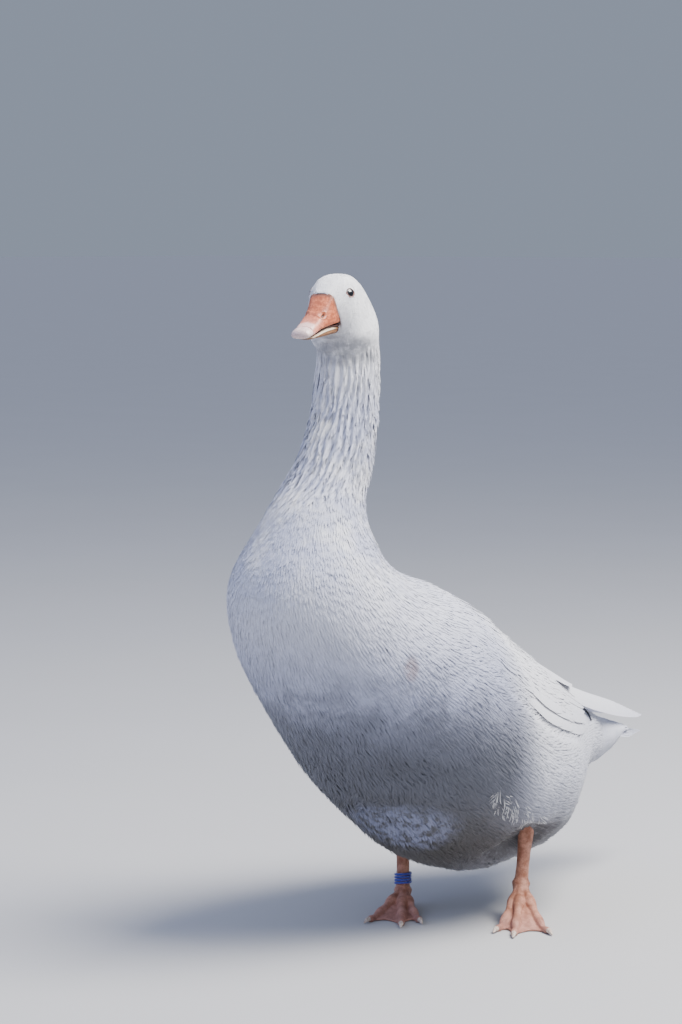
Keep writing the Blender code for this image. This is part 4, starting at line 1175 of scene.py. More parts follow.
# %% Wing tiers
LINE_FIRST = 7.4
LINE_STEP = 6.6
LINE_HALF = 4.9
TILT = 0.00040
WING_TIERS = (
    (0, 8, 4.75, 3.05, 3.45, 0.0040),
    (0, 8, 4.15, 2.40, 2.95, 0.0036),
    (0, 4, 3.60, 1.42, 1.20, 0.0030),
    (4, 8, 3.60, 1.12, 1.95, 0.0026),
    (0, 8, 3.20, 1.85, 2.25, 0.0020),
)
SCAPULAR_TOP = 0.0056
SCAPULAR_SPACING = 0.0088
SCAPULAR_STRETCH = (2.9, 6.6)
SCAPULAR_FRONT = (5.2, 6.4)
TERTIALS = (
    (4, 0.019, (0.50, 0.25, 0.80)),
    ((0.062, -0.030, 0.289), (0.050, -0.085, 0.262), (0.0400, -0.1400, 0.2425)),
    ((0.052, -0.030, 0.296), (0.036, -0.092, 0.2665), (0.0250, -0.1560, 0.2400)),
)
PRIMARIES = (
    (8, 0.017, (0.62, 0.22, 0.75)),
    ((0.036, -0.098, 0.258), (0.031, -0.165, 0.224), (0.013, -0.268, 0.2000)),
    ((0.044, -0.098, 0.248), (0.040, -0.165, 0.211), (0.010, -0.316, 0.1810)),
)
BLADE_GRID = (25, 7)


def wing_tiers(side, draw):
    """
    Tiers laid on the body: each has its first and last line, the row of its roots, the rows of its
    first and last tip and its lift. Toward the lower edge they sink in under the flank.
    """
    parts = []
    for first, last, root, first_tip, last_tip, lift in WING_TIERS:
        number = np.arange(first, last + 1)
        share = (number - first) / (last - first)
        tip = first_tip + (last_tip - first_tip) * share + draw.normal(0, 0.035, len(number))
        ends = np.stack([root + draw.normal(0, 0.03, len(number)), tip], -1)
        degrees = LINE_FIRST + LINE_STEP * number + draw.normal(0, 0.35, len(number))
        sunk = 1 - 0.75 * smooth(degrees, 52, 66)
        lifts = np.stack([number * 0.0 - 0.0006, lift * sunk + draw.normal(0, 0.00012, len(number))], -1)
        half = number * 0.0 + LINE_HALF
        parts.append(laid_vanes(ROWS, ends, degrees, half, lifts, TILT, side, draw))
    return parts


def blade(feathers, side, draw):
    """
    Feathers in the air, given by their number, width and the way they face, and by the root, bend
    and tip of the first and of the last as (x, forward, up) on the left. Each one's shaft is the
    curve (1-s)^2 root + 2s(1-s) bend + s^2 tip, and its vane lies across it.
    """
    (count, width, facing), first, last = feathers
    part = np.linspace(0.0, 1.0, count)[:, None, None]
    root, bend, tip = np.moveaxis(np.array(first) + (np.array(last) - np.array(first)) * part, 1, 0)
    share, across = vane_grid(*BLADE_GRID)
    line = (1 - share) ** 2 * root[:, None] + 2 * share * (1 - share) * bend[:, None]
    line = line + share**2 * tip[:, None]
    line = np.stack([line[..., 0], MIDDLE - line[..., 1], line[..., 2]], -1)
    heading = unit(np.gradient(line, axis=1))
    sideways = unit(np.cross(heading, np.array(facing)))
    face, sideways = np.cross(sideways, heading)[:, :, None], sideways[:, :, None]
    across, half = across[..., None], width / 2 * vane_width(share)[..., None]
    rise = 0.0007 * (1 - np.abs(across)) ** 2 - 0.0006 * across**2
    top = line[:, :, None] + sideways * half * across + face * rise
    under = top - face * (VANE_THICK * (1 - 0.6 * np.abs(across)))
    length = np.linalg.norm(tip - root, axis=-1)
    roots = np.stack([0.1 + 0.8 * np.arange(count) / count, np.full(count, 0.02)], -1)
    look = face + sideways * across * 0.25
    return vane_mesh(top, under, look, roots, VANE_PATCH, length * 0 + width / 2, length, draw, side)


def on_the_wing(row, angle):
    """True over the front and upper part of both folded wings."""
    degrees = side_degrees(angle)
    return (degrees < 63) & (row > 3.25 + 0.25 * np.sin(degrees / 9.0))


def scapular_coat():
    """Broad flat fans that pass from the wing's height to the body's at the shoulder."""
    row, angle = scatter(SCAPULAR_STRETCH, SCAPULAR_SPACING, 61, on_the_wing)
    edge = smooth(side_degrees(angle), 48, 64)
    front, swell = smooth(row, *SCAPULAR_FRONT), relief(row, angle)
    top = (SCAPULAR_TOP - 0.0045 * edge) * (1 - front) + swell * front
    high = top - swell + coat_depth(row)
    size = (0.031 - 0.008 * smooth(row, 5.0, 6.6), 0.0042, 0.020, 0.0003)
    return fans(row, angle, size, (high - 0.0016, high), 0.05, 62, count=7)


scapulars = coat_piece("coat_scapulars", scapular_coat(), plumage)
for side, name in ((1, "wing_left"), (-1, "wing_right")):
    draw = np.random.default_rng(40 + side)
    vanes = wing_tiers(side, draw)
    vanes += [blade(feathers, side, draw) for feathers in (TERTIALS, PRIMARIES)]
    vane_piece(f"{name}_feathers", vanes)
    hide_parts(name)

# %% [markdown]
# ## The tail
#
# A goose at rest closes its tail to a narrow fan. The middle pair lies on top, and each further
# pair lies under the last and a little to the side. Coverts hide the roots above and below.

# %% Tail
TAIL_CORE = (
    ("start", (-0.2130, 0.1955), (-0.2100, 0.1325), 0.0265, 0.00, 0.95),
    ("middle", (-0.2400, 0.1860), (-0.2390, 0.1460), 0.0270, 0.00, 0.95),
    ("end", (-0.2640, 0.1782), (-0.2610, 0.1635), 0.0245, 0.00, 0.95),
    ("covert_tips", (-0.2860, 0.1708), (-0.2830, 0.1664), 0.0205, 0.00, 0.95),
)
TAIL_TIERS = ((0.0, 1.3, 0.0018, 17, 16), (0.5, 2.0, 0.0014, 15, 17), (1.0, 2.6, 0.0010, 13, 18))
TAIL_CORE_GRID = (24, 48)
TAIL_CORE_END = 2.6
TAIL_PAIRS = 6
TAIL_SPREAD = math.radians(8.0)
TAIL_LENGTHS = (0.103, 0.056)
TAIL_ROOT = (-0.2200, 0.1795)
TAIL_PITCH = 0.0026
TAIL_LEVEL = 0.00036
TAIL_WIDTH = 0.020
TAIL_SLOPE = 0.135
TAIL_SAG = 0.55
TAIL_FALL = 7.0
TAIL_THICK = 0.00034
TAIL_PATCH = 0.03


def tail_feathers(draw, grid=(19, 7)):
    """
    Feathers draped on one surface: its height falls off as slope * reach + sag * reach^2 to the
    rear and fall * x^2 to the sides, and each feather lies one level under the last.
    """
    number = np.arange(2 * TAIL_PAIRS)[:, None, None]
    pair, side = number // 2, 1 - 2 * (number % 2)
    share, across = vane_grid(*grid)
    turn = TAIL_SPREAD * (pair + 0.5) / TAIL_PAIRS
    length = TAIL_LENGTHS[0] + (TAIL_LENGTHS[1] - TAIL_LENGTHS[0]) * pair / (TAIL_PAIRS - 1)
    half = TAIL_WIDTH / 2 * vane_width(share)
    x = TAIL_PITCH * (pair + 0.5) + length * share * np.sin(turn) + across * half * np.cos(turn)
    reach = length * share * np.cos(turn) - across * half * np.sin(turn)
    up = TAIL_ROOT[1] - TAIL_SLOPE * reach - TAIL_SAG * reach**2 - TAIL_FALL * x**2
    up = up - number * TAIL_LEVEL + SHAFT_RISE * (1 - np.abs(across)) ** 2
    top = np.stack([x * side, MIDDLE - TAIL_ROOT[0] + reach, up], axis=-1)
    under = top - np.array([0.0, 0.0, TAIL_THICK])
    order, length = number[:, 0, 0], length[:, 0, 0]
    roots = np.stack([0.1 + 0.05 * order, order * 0 + 0.9], -1)
    slope = TAIL_SLOPE + 2 * TAIL_SAG * reach
    look = np.stack([2 * TAIL_FALL * x * side, slope, reach * 0 + 1.0], -1)
    for sheet in (top, under, look):
        sheet[1::2] = sheet[1::2, :, ::-1]
    return vane_mesh(top, under, look, roots, TAIL_PATCH, length * 0 + TAIL_WIDTH / 2, length, draw)


def tail_coverts(draw):
    """
    Three tiers of coverts round the core, each with the rows of its roots and tips, its lift, its
    number and half its feathers' width in degrees. The core's rows are taken in reverse, because
    a laid vane's rows fall toward its tip.
    """
    parts, last = [], len(TAIL_CORE) - 1.0
    for root, tip, lift, count, half in TAIL_TIERS:
        degrees = (np.arange(count) - (count - 1) / 2) * 360.0 / count
        over = np.abs(degrees) < 75
        reach = np.where(over, tip, tip - 0.35 * (root + 0.6)) + draw.normal(0, 0.06, count)
        ends = np.stack([degrees * 0 + root, reach], -1)
        lifts = np.stack([degrees * 0 - 0.001, degrees * 0 + lift], -1)
        rows, wide = TAIL_CORE[::-1], degrees * 0 + half
        parts.append(laid_vanes(rows, last - ends, degrees, wide, lifts, 0.0, 1, draw, (11, 5)))
    return parts


draw = np.random.default_rng(50)
tail = vane_piece("tail_feathers", [tail_feathers(draw)] + tail_coverts(draw))
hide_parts("tail")
row = np.linspace(0.0, TAIL_CORE_END, TAIL_CORE_GRID[0])[:, None]
points, faces = closed_tube(loft(TAIL_CORE, row, circle(TAIL_CORE_GRID[1])[None, :]))
flat = np.full((len(points), 2), 0.5)
core = turn_outward(mesh_piece("tail_core", points, faces, skin_finish, "plumage", flat))
print("tail triangles", counts([tail, core]))

# %% [markdown]
# ## The bill
#
# A goose's bill is a wedge, high at the face and low at its tip, with a hard pale nail at the end.
# Soft orange skin covers it, mottled and finely wrinkled, with a slit nostril in a shallow dish on
# each side. The line of the mouth rises and falls in an arch, and the lower bill shows a pale
# cutting edge under it. The three parts are lofts on the same rows as the CAD model's.

# %% Bill
UPPER_BILL = (
    ("root", (0.2555, 0.7010), (0.2445, 0.6690), 0.0168, -0.40, 0.46),
    ("nostril", (0.2690, 0.6845), (0.2600, 0.6672), 0.0152, -0.45, 0.68),
    ("middle", (0.2815, 0.6735), (0.2770, 0.6640), 0.0136, -0.45, 0.78),
    ("nail_root", (0.2925, 0.6675), (0.2905, 0.6577), 0.0118, -0.35, 0.82),
)
NAIL = (
    ("root", (0.2925, 0.6675), (0.2905, 0.6577), 0.0116, -0.35, 0.82),
    ("middle", (0.2985, 0.6652), (0.2975, 0.6550), 0.0110, -0.25, 0.84),
    ("tip", (0.3035, 0.6622), (0.3025, 0.6548), 0.0085, -0.10, 0.88),
)
LOWER_BILL = (
    ("root", (0.2370, 0.6684), (0.2350, 0.6585), 0.0130, 0.20, 0.85),
    ("middle", (0.2660, 0.6640), (0.2665, 0.6550), 0.0124, 0.30, 0.85),
    ("tip", (0.2890, 0.6560), (0.2890, 0.6535), 0.0088, 0.10, 0.95),
)
MOUTH_SHADOW_ROWS = (
    ("root", (0.2400, 0.6704), (0.2400, 0.6658), 0.0152, 0.00, 0.75),
    ("middle", (0.2640, 0.6672), (0.2640, 0.6630), 0.0118, 0.00, 0.80),
    ("tip", (0.2840, 0.6600), (0.2840, 0.6568), 0.0080, 0.00, 0.90),
)
NOSTRIL_PLACE = (0.0076, 0.2712, 0.6782)
NOSTRIL_SLANT = (0.80, 0.60)
PALE_HORN = (0.76, 0.50, 0.45)
# Painted shadow in the mouth's gap and in the nostril slits.
MOUTH_SHADOW = (0.030, 0.012, 0.010)


def horn_finish():
    """Orange bill skin: mottled, pinker toward the tip, with fine wrinkles and a soft gloss."""
    look = Finish("orange_horn", Roughness=0.42, Coat_Weight=0.15, Coat_Roughness=0.3)
    place = look.place()
    _, y, _ = look.axes(place)
    blotch = look.noise(210.0, 4.0, 0.65, place)
    fine = look.noise(900.0, 3.0, 0.6, place)
    tip = y.step(-0.255, -0.285)
    colour = blend(blotch.step(0.40, 0.68), (0.38, 0.090, 0.034), (0.70, 0.20, 0.085))
    colour = blend(tip * 0.70, colour, (0.84, 0.38, 0.30))
    colour = blend(fine.step(0.56, 0.72) * (1 - tip * 0.7) * 0.45, colour, (0.28, 0.08, 0.04))
    colour = blend(look.attribute("edge") * 0.75, colour, (0.15, 0.075, 0.055))
    colour = blend(look.attribute("pale"), colour, PALE_HORN)
    # Painted shadow in the mouth's gap and the nostrils.
    colour = blend(look.attribute("dark"), colour, MOUTH_SHADOW)
    look.feed("Base Color", colour)
    look.bump(blotch * 0.5 + fine * 0.5, 0.0010, 0.6)
    return look


horn = horn_finish()
lower_horn = grained(
    "lower_horn", (260.0, 4.0, 0.6), (0.35, 0.7), ((0.20, 0.085, 0.030), (0.42, 0.19, 0.075)),
    (0.0005, 0.4),
    (("pale", 1, (0.78, 0.66, 0.48)), ("edge", 1, (0.085, 0.030, 0.022)), ("dark", 1, MOUTH_SHADOW)),
    Roughness=0.45, Coat_Weight=0.1,
)
nail_horn = grained(
    "pale_horn", (420.0, 3.0, 0.6), (0.3, 0.75), ((0.62, 0.44, 0.41), (0.76, 0.61, 0.58)), (0.0003, 0.4),
    (("edge", 1, PALE_HORN),), Roughness=0.38, Coat_Weight=0.2, Coat_Roughness=0.25,
)
# The dark sheet between the bill's halves: painted shadow.
mouth_shadow_finish = grained(
    "mouth_shadow_paint", (400.0, 3.0), None, ((0.030, 0.011, 0.010), (0.075, 0.024, 0.020)), Roughness=0.5
)


def bill_part(name, rows, shift, grid, shape, finish, slot):
    """A closed loft of the bill: shape() pushes its grid in or out and paints its maps."""
    row = np.linspace(0.0, len(rows) - 1.0, grid[0])[:, None]
    angle = circle(grid[1])[None, :]
    points, normal, _, _ = loft_frame(rows, row, angle)
    points = points + head_step(0.0, shift)
    degrees = np.degrees(np.minimum(angle, 2 * math.pi - angle)) + row * 0
    out, shrink, paint = shape(row + angle * 0, degrees, points)
    middle = points.mean(axis=1, keepdims=True)
    rings = middle + (points + normal * out[..., None] - middle) * shrink[..., None]
    points, faces = closed_tube(rings)
    flat = np.stack(np.broadcast_arrays(angle / (2 * math.pi), row / row.max()), -1) * 0.96 + 0.02
    uv = np.concatenate([flat.reshape(-1, 2), [[0.5, 0.01], [0.5, 0.99]]])
    maps = {}
    for label, value in paint.items():
        value = np.clip(value + row * 0 + angle * 0, 0.0, 1.0)
        maps[label] = np.concatenate([value.ravel(), [value[0].mean(), value[-1].mean()]])
    return turn_outward(mesh_piece(name, points, faces, finish, slot, uv, maps))


def upper_shape(row, degrees, points):
    """
    Square shoulders at the root, a nostril slit in a dish on each side, a soft bead along the
    mouth, a dark line at the feathers, and the pale horn that spreads back from the nail.
    """
    root = 1 - smooth(row, 0.0, 0.9)
    out = 0.0004 * bell(degrees, 40, 14) - 0.0005 * bell(degrees, 78, 20)
    out = out + 0.0013 * root * bell(degrees, 30, 13) + 0.0005 * bell(degrees, 122, 9)
    # The underside, in the mouth's gap, and the nostril slits are painted dark as shadow (the dark map).
    dark = smooth(degrees, 138, 150) * 0.9
    ahead, up = head_step(0.0, 1.0), np.array([0.0, 0.0, 1.0])
    level, steep = NOSTRIL_SLANT
    slant, cross = ahead * level - up * steep, ahead * steep + up * level
    for side in (1, -1):
        away = points - turned(side * NOSTRIL_PLACE[0], NOSTRIL_PLACE[1], NOSTRIL_PLACE[2])
        along, over = away @ slant, away @ cross
        near = np.exp(-((away * away).sum(-1) / 0.012**2) ** 2)
        dish = np.exp(-((along / 0.0056) ** 2 + (over / 0.0034) ** 2)) * near
        slit = np.exp(-(((along / 0.0032) ** 2 + (over / 0.0010) ** 2) ** 1.5)) * near
        ridge = np.exp(-(((along / 0.0050) ** 2 + (over / 0.0030) ** 2 - 1) ** 2) * 6) * near
        out = out - 0.0006 * dish - 0.0018 * slit + 0.0005 * ridge
        dark = np.maximum(dark, smooth(slit, 0.25, 0.75))
    edge = (1 - smooth(row, 0.10, 0.24)) * (1 - 0.4 * smooth(degrees, 60, 110))
    start = 2.10 + 0.75 * smooth(degrees, 10, 80) + 0.12 * np.sin(degrees / 9.0)
    pale = smooth(row, start, start + 0.35)
    return out, np.ones(row.shape), {"edge": edge, "pale": pale, "dark": dark}


def lower_shape(row, degrees, points):
    """A pale lip along the top of the lower bill, painted shadow on the inside over it, and a dark root.
    """
    lip = smooth(degrees, 38, 50) * (1 - smooth(degrees, 74, 90))
    paint = {"pale": lip * smooth(row, 0.30, 0.60), "edge": 1 - smooth(row, 0.20, 0.30)}
    # The inside over the lip is painted dark as shadow in the mouth's gap.
    paint["dark"] = 1 - smooth(degrees, 34, 44)
    return 0.0006 * lip - 0.0007 * bell(degrees, 96, 9), np.ones(row.shape), paint


def nail_shape(row, degrees, points):
    """The nail is smooth and rounds off at its end: the rings shrink as a circle does."""
    turn = np.clip((row - 1.25) / 0.75, 0.0, 1.0)
    shrink = np.sqrt(1 - 0.93 * turn**2.4)
    return 0.0002 - 0.0006 * (1 - smooth(row, 0.0, 0.20)), shrink, {"edge": 1 - smooth(row, 0.0, 0.6)}


def mouth_shadow_shape(row, degrees, points):
    """A dark sheet between the two halves of the bill: painted shadow in the mouth's gap."""
    return row * 0.0, np.ones(row.shape), {}


upper = bill_part("bill_upper_skin", UPPER_BILL, 0.0005, (150, 168), upper_shape, horn, "horn")
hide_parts("bill_upper")
lower = bill_part("bill_lower_skin", LOWER_BILL, 0.0005, (70, 90), lower_shape, lower_horn, "horn")
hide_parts("bill_lower")
nail = bill_part("bill_nail_horn", NAIL, 0.0008, (48, 72), nail_shape, nail_horn, "nail")
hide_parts("bill_nail")
mouth_shadow_part = bill_part("mouth_shadow_sheet", MOUTH_SHADOW_ROWS, 0.0002, (30, 36), mouth_shadow_shape, mouth_shadow_finish, "skin")
print("bill triangles", counts([upper, lower, nail, mouth_shadow_part]))

# %% [markdown]
# ## The eyes
#
# The goose's eye is a dark wet ball: the iris is so deep a brown that it hardly differs from the
# pupil. The ball is a fine sphere that shows through the opening in the skin, and a thin ring of
# bare skin lines the lids. It is dark above, reddish below, and drawn out at the eye's corners.


# %% Eyes and lids
EYE_GRID = (48, 64)
PUPIL_EDGE = (0.27, 0.30)
IRIS_EDGE = (0.40, 0.46)
LID_GRID = (96, 20)
LID_REACH = 0.0046
LID_WIDTH = 0.0007
LID_THICK = 0.0006
LID_SINK = 0.0001


def eye_finish():
    """Pupil, iris and the dark edge round it, painted by the share of the way from the pole."""
    look = Finish("wet_eye", Roughness=0.06, Coat_Weight=1.0, Coat_Roughness=0.02)
    polar = look.attribute("polar")
    streak = look.noise(2600.0, 2.0, 0.6)
    iris = blend(streak.step(0.35, 0.65), (0.012, 0.007, 0.006), (0.034, 0.019, 0.015))
    colour = blend(polar.step(*PUPIL_EDGE), (0.002, 0.002, 0.002), iris)
    look.feed("Base Color", blend(polar.step(*IRIS_EDGE), colour, (0.006, 0.005, 0.005)))
    return look


wet_eye = eye_finish()
lid_skin = grained(
    "lid_skin", (1500.0, 2.0, 0.5), (0.3, 0.7), ((0.16, 0.065, 0.05), (0.34, 0.16, 0.13)), (0.0003, 0.5),
    (("upper", 0.90, (0.040, 0.020, 0.017)),), Roughness=0.45,
)


def eye_frame(side):
    """The line of sight and two directions square to it, one along the head and one up."""
    axis = eye_axis(side)
    ahead = unit(np.cross(axis, [0.0, 0.0, 1.0]))
    return axis, ahead, np.cross(ahead, axis)


def make_eye(side, name):
    """A sphere of rings round the axis of sight, with each ring's angle from it kept as polar."""
    axis, ahead, up = eye_frame(side)
    rings, around = EYE_GRID
    polar = np.linspace(0.0, math.pi, rings)[:, None, None]
    turn = circle(around)[None, :, None]
    ball = np.cos(polar) * axis + np.sin(polar) * (np.cos(turn) * ahead + np.sin(turn) * up)
    points = (eye_centre(side) + ball * EYE_RADIUS).reshape(-1, 3)
    share = np.broadcast_to(polar / math.pi * 2, (rings, around, 1)).ravel()
    uv = np.stack(np.broadcast_arrays(turn[..., 0] / 6.4, polar[..., 0] / 3.3), -1).reshape(-1, 2)
    faces = grid_faces(rings, around, True)
    made = mesh_piece(name + "_ball", points, faces, wet_eye, "eye", uv, {"polar": share})
    turn_outward(made, weld=True)
    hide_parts(name)
    return made


def make_lid(side, name):
    """A closed ring round the eye: an oval, drawn out to a corner at its front and back."""
    axis, ahead, up = eye_frame(side)
    along, around = LID_GRID
    turn = circle(along)[:, None, None]
    bend = circle(around)[None, :, None]
    corner = np.abs(np.cos(turn)) ** 6
    oval = np.cos(turn) * ahead * (0.92 + 0.12 * corner) + np.sin(turn) * up
    reach = LID_REACH + LID_WIDTH * np.cos(bend)
    centre = eye_centre(side) + axis * (EYE_SINK - LID_SINK)
    points = centre + oval * reach + axis * (LID_THICK - 0.0002 * corner) * np.sin(bend)
    faces = grid_faces(along + 1, around, True) % (along * around)
    uv = np.stack(np.broadcast_arrays(turn[..., 0] / 6.4, bend[..., 0] / 6.4), -1).reshape(-1, 2)
    upper = np.broadcast_to(smooth(np.sin(turn), -0.1, 0.5), points.shape[:2] + (1,)).ravel()
    return turn_outward(mesh_piece(name, points, faces, lid_skin, "skin", uv, {"upper": upper}))


eyes = [make_eye(1, "eye_left"), make_eye(-1, "eye_right")]
lids = [make_lid(1, "lids_left"), make_lid(-1, "lids_right")]
print("eye across", round(2000 * EYE_RADIUS, 1), "mm; triangles", counts(eyes + lids))

# %% [markdown]
# ## Legs and feet
#
# One scaly skin covers a goose's leg from the feathers to the claws. It is made as fine tubes for
# the shank and toes and a folded web between them, which a voxel remesh then joins to one closed
# skin, as a sculptor blends clay. The soles are pressed flat on the floor.

# %% Legs and feet
LEGS = {
    "left": ((0.0762, -0.0036, 0.0390), (0.0730, -0.0200, 0.1250), math.radians(34.0), 1),
    "right": ((-0.0500, 0.0535, 0.0205), (-0.0600, 0.0420, 0.1250), math.radians(40.0), -1),
}
TOE_LENGTHS = (0.074, 0.088, 0.080)
TOE_SPREADS = (math.radians(16.0), math.radians(27.0))
TOE_RADIUS = 0.0053
TOE_FLOOR = 0.0030
SLOPE_SHARE = 0.80
SLOPE_POWER = 1.12
WEB_FLOOR = 0.0014
WEB_THICKNESS = 0.0022
SHANK_HEIGHTS = (-0.0105, 0.0, 0.0025, 0.0055, 0.018, 0.034, 0.052, 0.085)
SHANK_RADII = (0.0078, 0.0105, 0.0090, 0.0077, 0.0072, 0.0074, 0.0086, 0.0110)
WEB_GRID = (36, 65)
VOXEL = 0.00075
SCALES = 600.0


def world(place):
    """A world point from (x, forward, up)."""
    return np.array([place[0], MIDDLE - place[1], place[2]])


def shank_line(joint, top):
    """The world point where a shank starts, and the unit direction in which it rises."""
    low, high = world(joint), world(top)
    return low, unit(high - low)


def tube(centres, radii, around=28):
    """A closed tube: rings of given radii, square to a path."""
    along = unit(np.gradient(centres, axis=0))
    side = unit(np.cross(along, [0.0, 1.0, 0.001]))
    other = np.cross(along, side)
    turn = circle(around)[None, :, None]
    ring = np.cos(turn) * side[:, None] + np.sin(turn) * other[:, None]
    return closed_tube(centres[:, None] + ring * radii[:, None, None])


def toe_direction(turn):
    """World direction on the floor, turned from straight ahead toward the bird's left."""
    return np.stack([np.sin(turn), -np.cos(turn), np.asarray(turn) * 0.0], -1)


def foot_height(share, joint_height):
    """Height of a toe's middle line: from the joint down to the floor, then flat."""
    drop = np.clip(share / SLOPE_SHARE, 0.0, 1.0)
    return TOE_FLOOR + (joint_height - TOE_FLOOR) * (1 - drop) ** SLOPE_POWER


def toe(joint, turn, length, scale=1.0):
    """A toe with a soft pad at each of its three joints and a blunt end."""
    share = np.linspace(0.0, 1.0, 60)
    pads = 1 + 0.17 * np.cos(share * math.pi * 6.0)
    blunt = np.sqrt(np.clip((1.02 - share) * 14, 0, 1))
    radii = TOE_RADIUS * scale * (1.25 - 0.55 * share) * pads * blunt
    centres = world(joint) * [1, 1, 0] + toe_direction(turn) * share[:, None] * length
    centres[:, 2] = foot_height(share, joint[2])
    return tube(centres, radii)


def web(joint, turn, spreads):
    """A fan between the toes: its front edge is drawn in between each two toes, and it sags there."""
    share = np.linspace(0.0, 1.0, WEB_GRID[1])
    angle = turn - np.interp(share, (0, 0.5, 1), spreads)
    reach = np.interp(share, (0, 0.5, 1), TOE_LENGTHS)
    between = np.abs(np.sin(2 * math.pi * share))
    edge = reach * 0.93 * (1 - 0.15 * between)
    out = np.linspace(0.10, 1.0, WEB_GRID[0])[:, None]
    flat = world(joint) * [1, 1, 0] + toe_direction(angle)[None] * (out * edge)[..., None]
    fold = 0.0011 * np.cos(share * 6 * math.pi)[None] * out * (1 - out * 0.5)
    middle = foot_height(out * edge / reach, joint[2]) - TOE_FLOOR + WEB_FLOOR - fold * (out < 0.98)
    middle = np.maximum(middle, WEB_FLOOR)
    top, under = flat.copy(), flat.copy()
    top[..., 2] = middle + WEB_THICKNESS / 2
    under[..., 2] = middle - WEB_THICKNESS / 2
    return np.concatenate([top.reshape(-1, 3), under.reshape(-1, 3)]), sheet_faces(*WEB_GRID)


def leg_parts(joint, top, turn, inner):
    """Three toes, the hind toe, the web and the shank, which swells at the ankle and the feathers."""
    spreads = (inner * TOE_SPREADS[0], 0.0, -inner * TOE_SPREADS[1])
    parts = [toe(joint, turn - spread, length) for spread, length in zip(spreads, TOE_LENGTHS)]
    parts.append(toe((joint[0], joint[1], joint[2] * 0.75), turn + math.pi + inner * 0.5, 0.017, 0.7))
    parts.append(web(joint, turn, spreads))
    low, axis = shank_line(joint, top)
    heights = np.linspace(SHANK_HEIGHTS[0], SHANK_HEIGHTS[-1], 80)
    radii = np.interp(heights, SHANK_HEIGHTS, SHANK_RADII)
    parts.append(tube(low + axis * heights[:, None], radii))
    return parts


def remeshed(name, parts, finish, slot):
    """One closed skin from overlapping closed parts: joined, remeshed by voxels and smoothed."""
    made = turn_outward(mesh_piece(name, *stacked(parts), finish, slot))
    remesh = made.modifiers.new("join", "REMESH")
    remesh.mode = "VOXEL"
    remesh.voxel_size = VOXEL
    soften = made.modifiers.new("soften", "SMOOTH")
    soften.factor = 0.5
    soften.iterations = 4
    graph = bpy.context.evaluated_depsgraph_get()
    mesh = bpy.data.meshes.new_from_object(made.evaluated_get(graph))
    made.modifiers.clear()
    made.data = mesh
    mesh.name = name
    co = np.empty(len(mesh.vertices) * 3, np.float32)
    mesh.vertices.foreach_get("co", co)
    co = co.reshape(-1, 3)
    co[:, 2] = np.maximum(co[:, 2], 0.0)
    mesh.vertices.foreach_set("co", co.ravel())
    mesh.polygons.foreach_set("use_smooth", np.ones(len(mesh.polygons), bool))
    mesh.update()
    return made


def leg_finish():
    """Scaly leg skin: plates as cells with dark lines between them, paler pink on the web."""
    look = Finish("orange_skin", Roughness=0.55)
    place = look.place()
    _, _, z = look.axes(place)
    settings = {"feature": "DISTANCE_TO_EDGE"}
    cells = add_node(look.tree, "ShaderNodeTexVoronoi", settings, {"Vector": place, "Scale": SCALES})
    blotch = look.noise(120.0, 4.0, 0.6, place)
    fine = look.noise(700.0, 3.0, 0.6, place)
    lines = cells.step(0.14, 0.02)
    colour = blend(blotch.step(0.34, 0.68), (0.36, 0.135, 0.075), (0.66, 0.32, 0.22))
    colour = blend(z.step(0.022, 0.004) * 0.45, colour, (0.42, 0.215, 0.19))
    colour = blend(lines * 0.30, colour, (0.24, 0.10, 0.06))
    dirt = fine.step(0.5, 0.6923) * z.step(0.010, 0.001)
    colour = blend(dirt * 0.35, colour, (0.25, 0.13, 0.09))
    look.feed("Base Color", colour)
    look.bump(1 - lines * 0.8 + fine * 0.25, 0.0007, 0.7)
    return look


leg_skin = leg_finish()
legs = []
for side, (joint, top, turn, inner) in LEGS.items():
    made = remeshed(f"leg_skin_{side}", leg_parts(joint, top, turn, inner), leg_skin, "skin")
    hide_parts(f"leg_{side}", f"foot_{side}")
    legs.append(made)
print("leg triangles", [sum(len(p.vertices) - 2 for p in piece.data.polygons) for piece in legs])

# %% [markdown]
# ## Claws and ring
#
# The claws keep the CAD model's shapes and get a worn horn finish. The ring on the right shank is a
# strip of blue plastic wound four times round, with pale lines where the turns meet.


# %% Claws and ring
claw_horn = grained(
    "claw_horn", (500.0, 3.0, 0.6), (0.3, 0.7), ((0.36, 0.26, 0.20), (0.70, 0.60, 0.52)), (0.0003, 0.5),
    Roughness=0.5,
)
for name, node in frame["nodes"].items():
    if name.startswith("claw_"):
        for slot in node.material_slots:
            slot.material = claw_horn.material

RING_HEIGHT = 0.0160
RING_TURNS = 4
RING_STRIP = 0.0017
RING_RADIUS = 0.0084
RING_RISE = 0.0058
RING_GAP = 0.0006
RING_GRID = (64, 16)
plastic = grained(
    "blue_plastic", (600.0, 3.0, 0.6), (0.45, 0.75), ((0.020, 0.032, 0.34), (0.060, 0.076, 0.38)),
    (0.0002, 0.4), (("rim", 1, (0.45, 0.48, 0.70)),), Roughness=0.34,
)


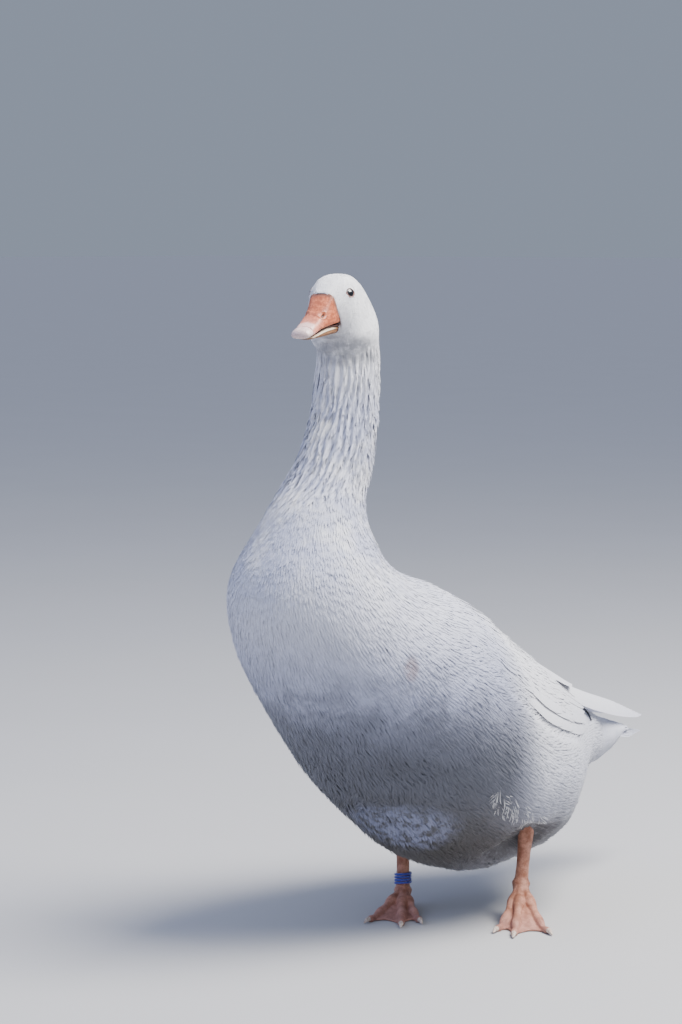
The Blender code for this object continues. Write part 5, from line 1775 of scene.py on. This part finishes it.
def make_ring():
    """A coil: a rounded strip's section is carried round the shank and up by one pitch each turn."""
    low, axis = shank_line(*LEGS["right"][:2])
    side = unit(np.cross(axis, [0.0, 1.0, 0.0]))
    other = np.cross(axis, side)
    turns = np.linspace(0.0, RING_TURNS, RING_GRID[0] * RING_TURNS + 1)[:, None, None]
    spoke = np.cos(turns * 2 * math.pi) * side + np.sin(turns * 2 * math.pi) * other
    pitch = RING_HEIGHT / (RING_TURNS + 1)
    half = (pitch - RING_GAP) / 2
    around = circle(RING_GRID[1])[None, :, None]
    bulge = np.sign(np.cos(around)) * np.abs(np.cos(around)) ** 0.5
    up = np.sign(np.sin(around)) * np.abs(np.sin(around)) ** 0.5
    out = RING_RADIUS + RING_STRIP * (0.45 + 0.45 * bulge)
    height = RING_RISE + turns * pitch + half + half * up
    points, faces = closed_tube(low + axis * height + spoke * out)
    edge = smooth(np.abs(up), 0.80, 0.99) * smooth(bulge, -0.2, 0.4) + turns * 0
    rim = np.concatenate([edge.ravel(), [0, 0]])
    flat = np.stack(np.broadcast_arrays(turns[..., 0] / RING_TURNS, around[..., 0] / 6.4), -1)
    uv = np.concatenate([flat.reshape(-1, 2), [[0, 0], [1, 1]]])
    made = mesh_piece("leg_ring_coil", points, faces, plastic, "ring", uv, {"rim": rim})
    turn_outward(made)
    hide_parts("leg_ring")
    return made


ring = make_ring()
print("ring triangles", counts([ring]))

# %% [markdown]
# ## Light and floor
#
# The light is that of a bright day under thin cloud: a sky that is brighter overhead than at the
# horizon, a warm soft lamp high over the bird's left side, a weak blue one at its right that fills
# the shadows, and a faint one above the camera. The floor is wide, level and a plain pale grey.

# %% Light and floor
FLOOR_EDGE = 90.0
AIM = (0.0, 0.0, 0.33)
LAMPS = (
    ("key", (1.3, 0.5, 2.8), 1.8, 270, (1.0, 0.965, 0.92)),
    ("fill", (-1.6, -2.2, 1.9), 2.4, 26, (0.40, 0.50, 1.0)),
    ("front", (2.4, -2.2, 2.2), 1.8, 14, (0.90, 0.94, 1.0)),
)


def area_light(name, place, size, power, colour):
    """A soft square lamp that faces the middle of the bird."""
    lamp = bpy.data.lights.new(name, "AREA")
    lamp.size = size
    lamp.energy = power
    lamp.color = colour
    made = bpy.data.objects.new(name, lamp)
    bpy.context.scene.collection.objects.link(made)
    made.location = place
    way = Vector(AIM) - Vector(place)
    made.rotation_euler = way.to_track_quat("-Z", "Y").to_euler()


def make_floor():
    """A wide level square that belongs to the stage and not to the bird."""
    look = grained("floor", (3.0, 2.0), None, ((0.43, 0.43, 0.43), (0.45, 0.45, 0.45)), Roughness=0.9)
    corners = [(x * FLOOR_EDGE, y * FLOOR_EDGE, 0.0) for x, y in ((-1, -1), (1, -1), (1, 1), (-1, 1))]
    mesh = bpy.data.meshes.new("floor")
    mesh.from_pydata(corners, [], [(0, 1, 2, 3)])
    mesh.materials.append(look.material)
    made = bpy.data.objects.new("floor", mesh)
    bpy.context.scene.collection.objects.link(made)


def make_world():
    """A sky that is dim at the horizon and bright overhead, as under an even layer of cloud."""
    made = bpy.data.worlds.new("studio")
    made.use_nodes = True
    tree = made.node_tree
    way = add_node(tree, "ShaderNodeTexCoord")
    upward = add_node(tree, "ShaderNodeSeparateXYZ", None, {0: way}, out=2)
    sky = blend(upward.step(0.06, 0.85), (0.265, 0.31, 0.395), (0.66, 0.74, 1.0))
    tree.links.new(sky.socket, tree.nodes["Background"].inputs["Color"])
    bpy.context.scene.world = made


make_floor()
make_world()
for lamp in LAMPS:
    area_light(*lamp)
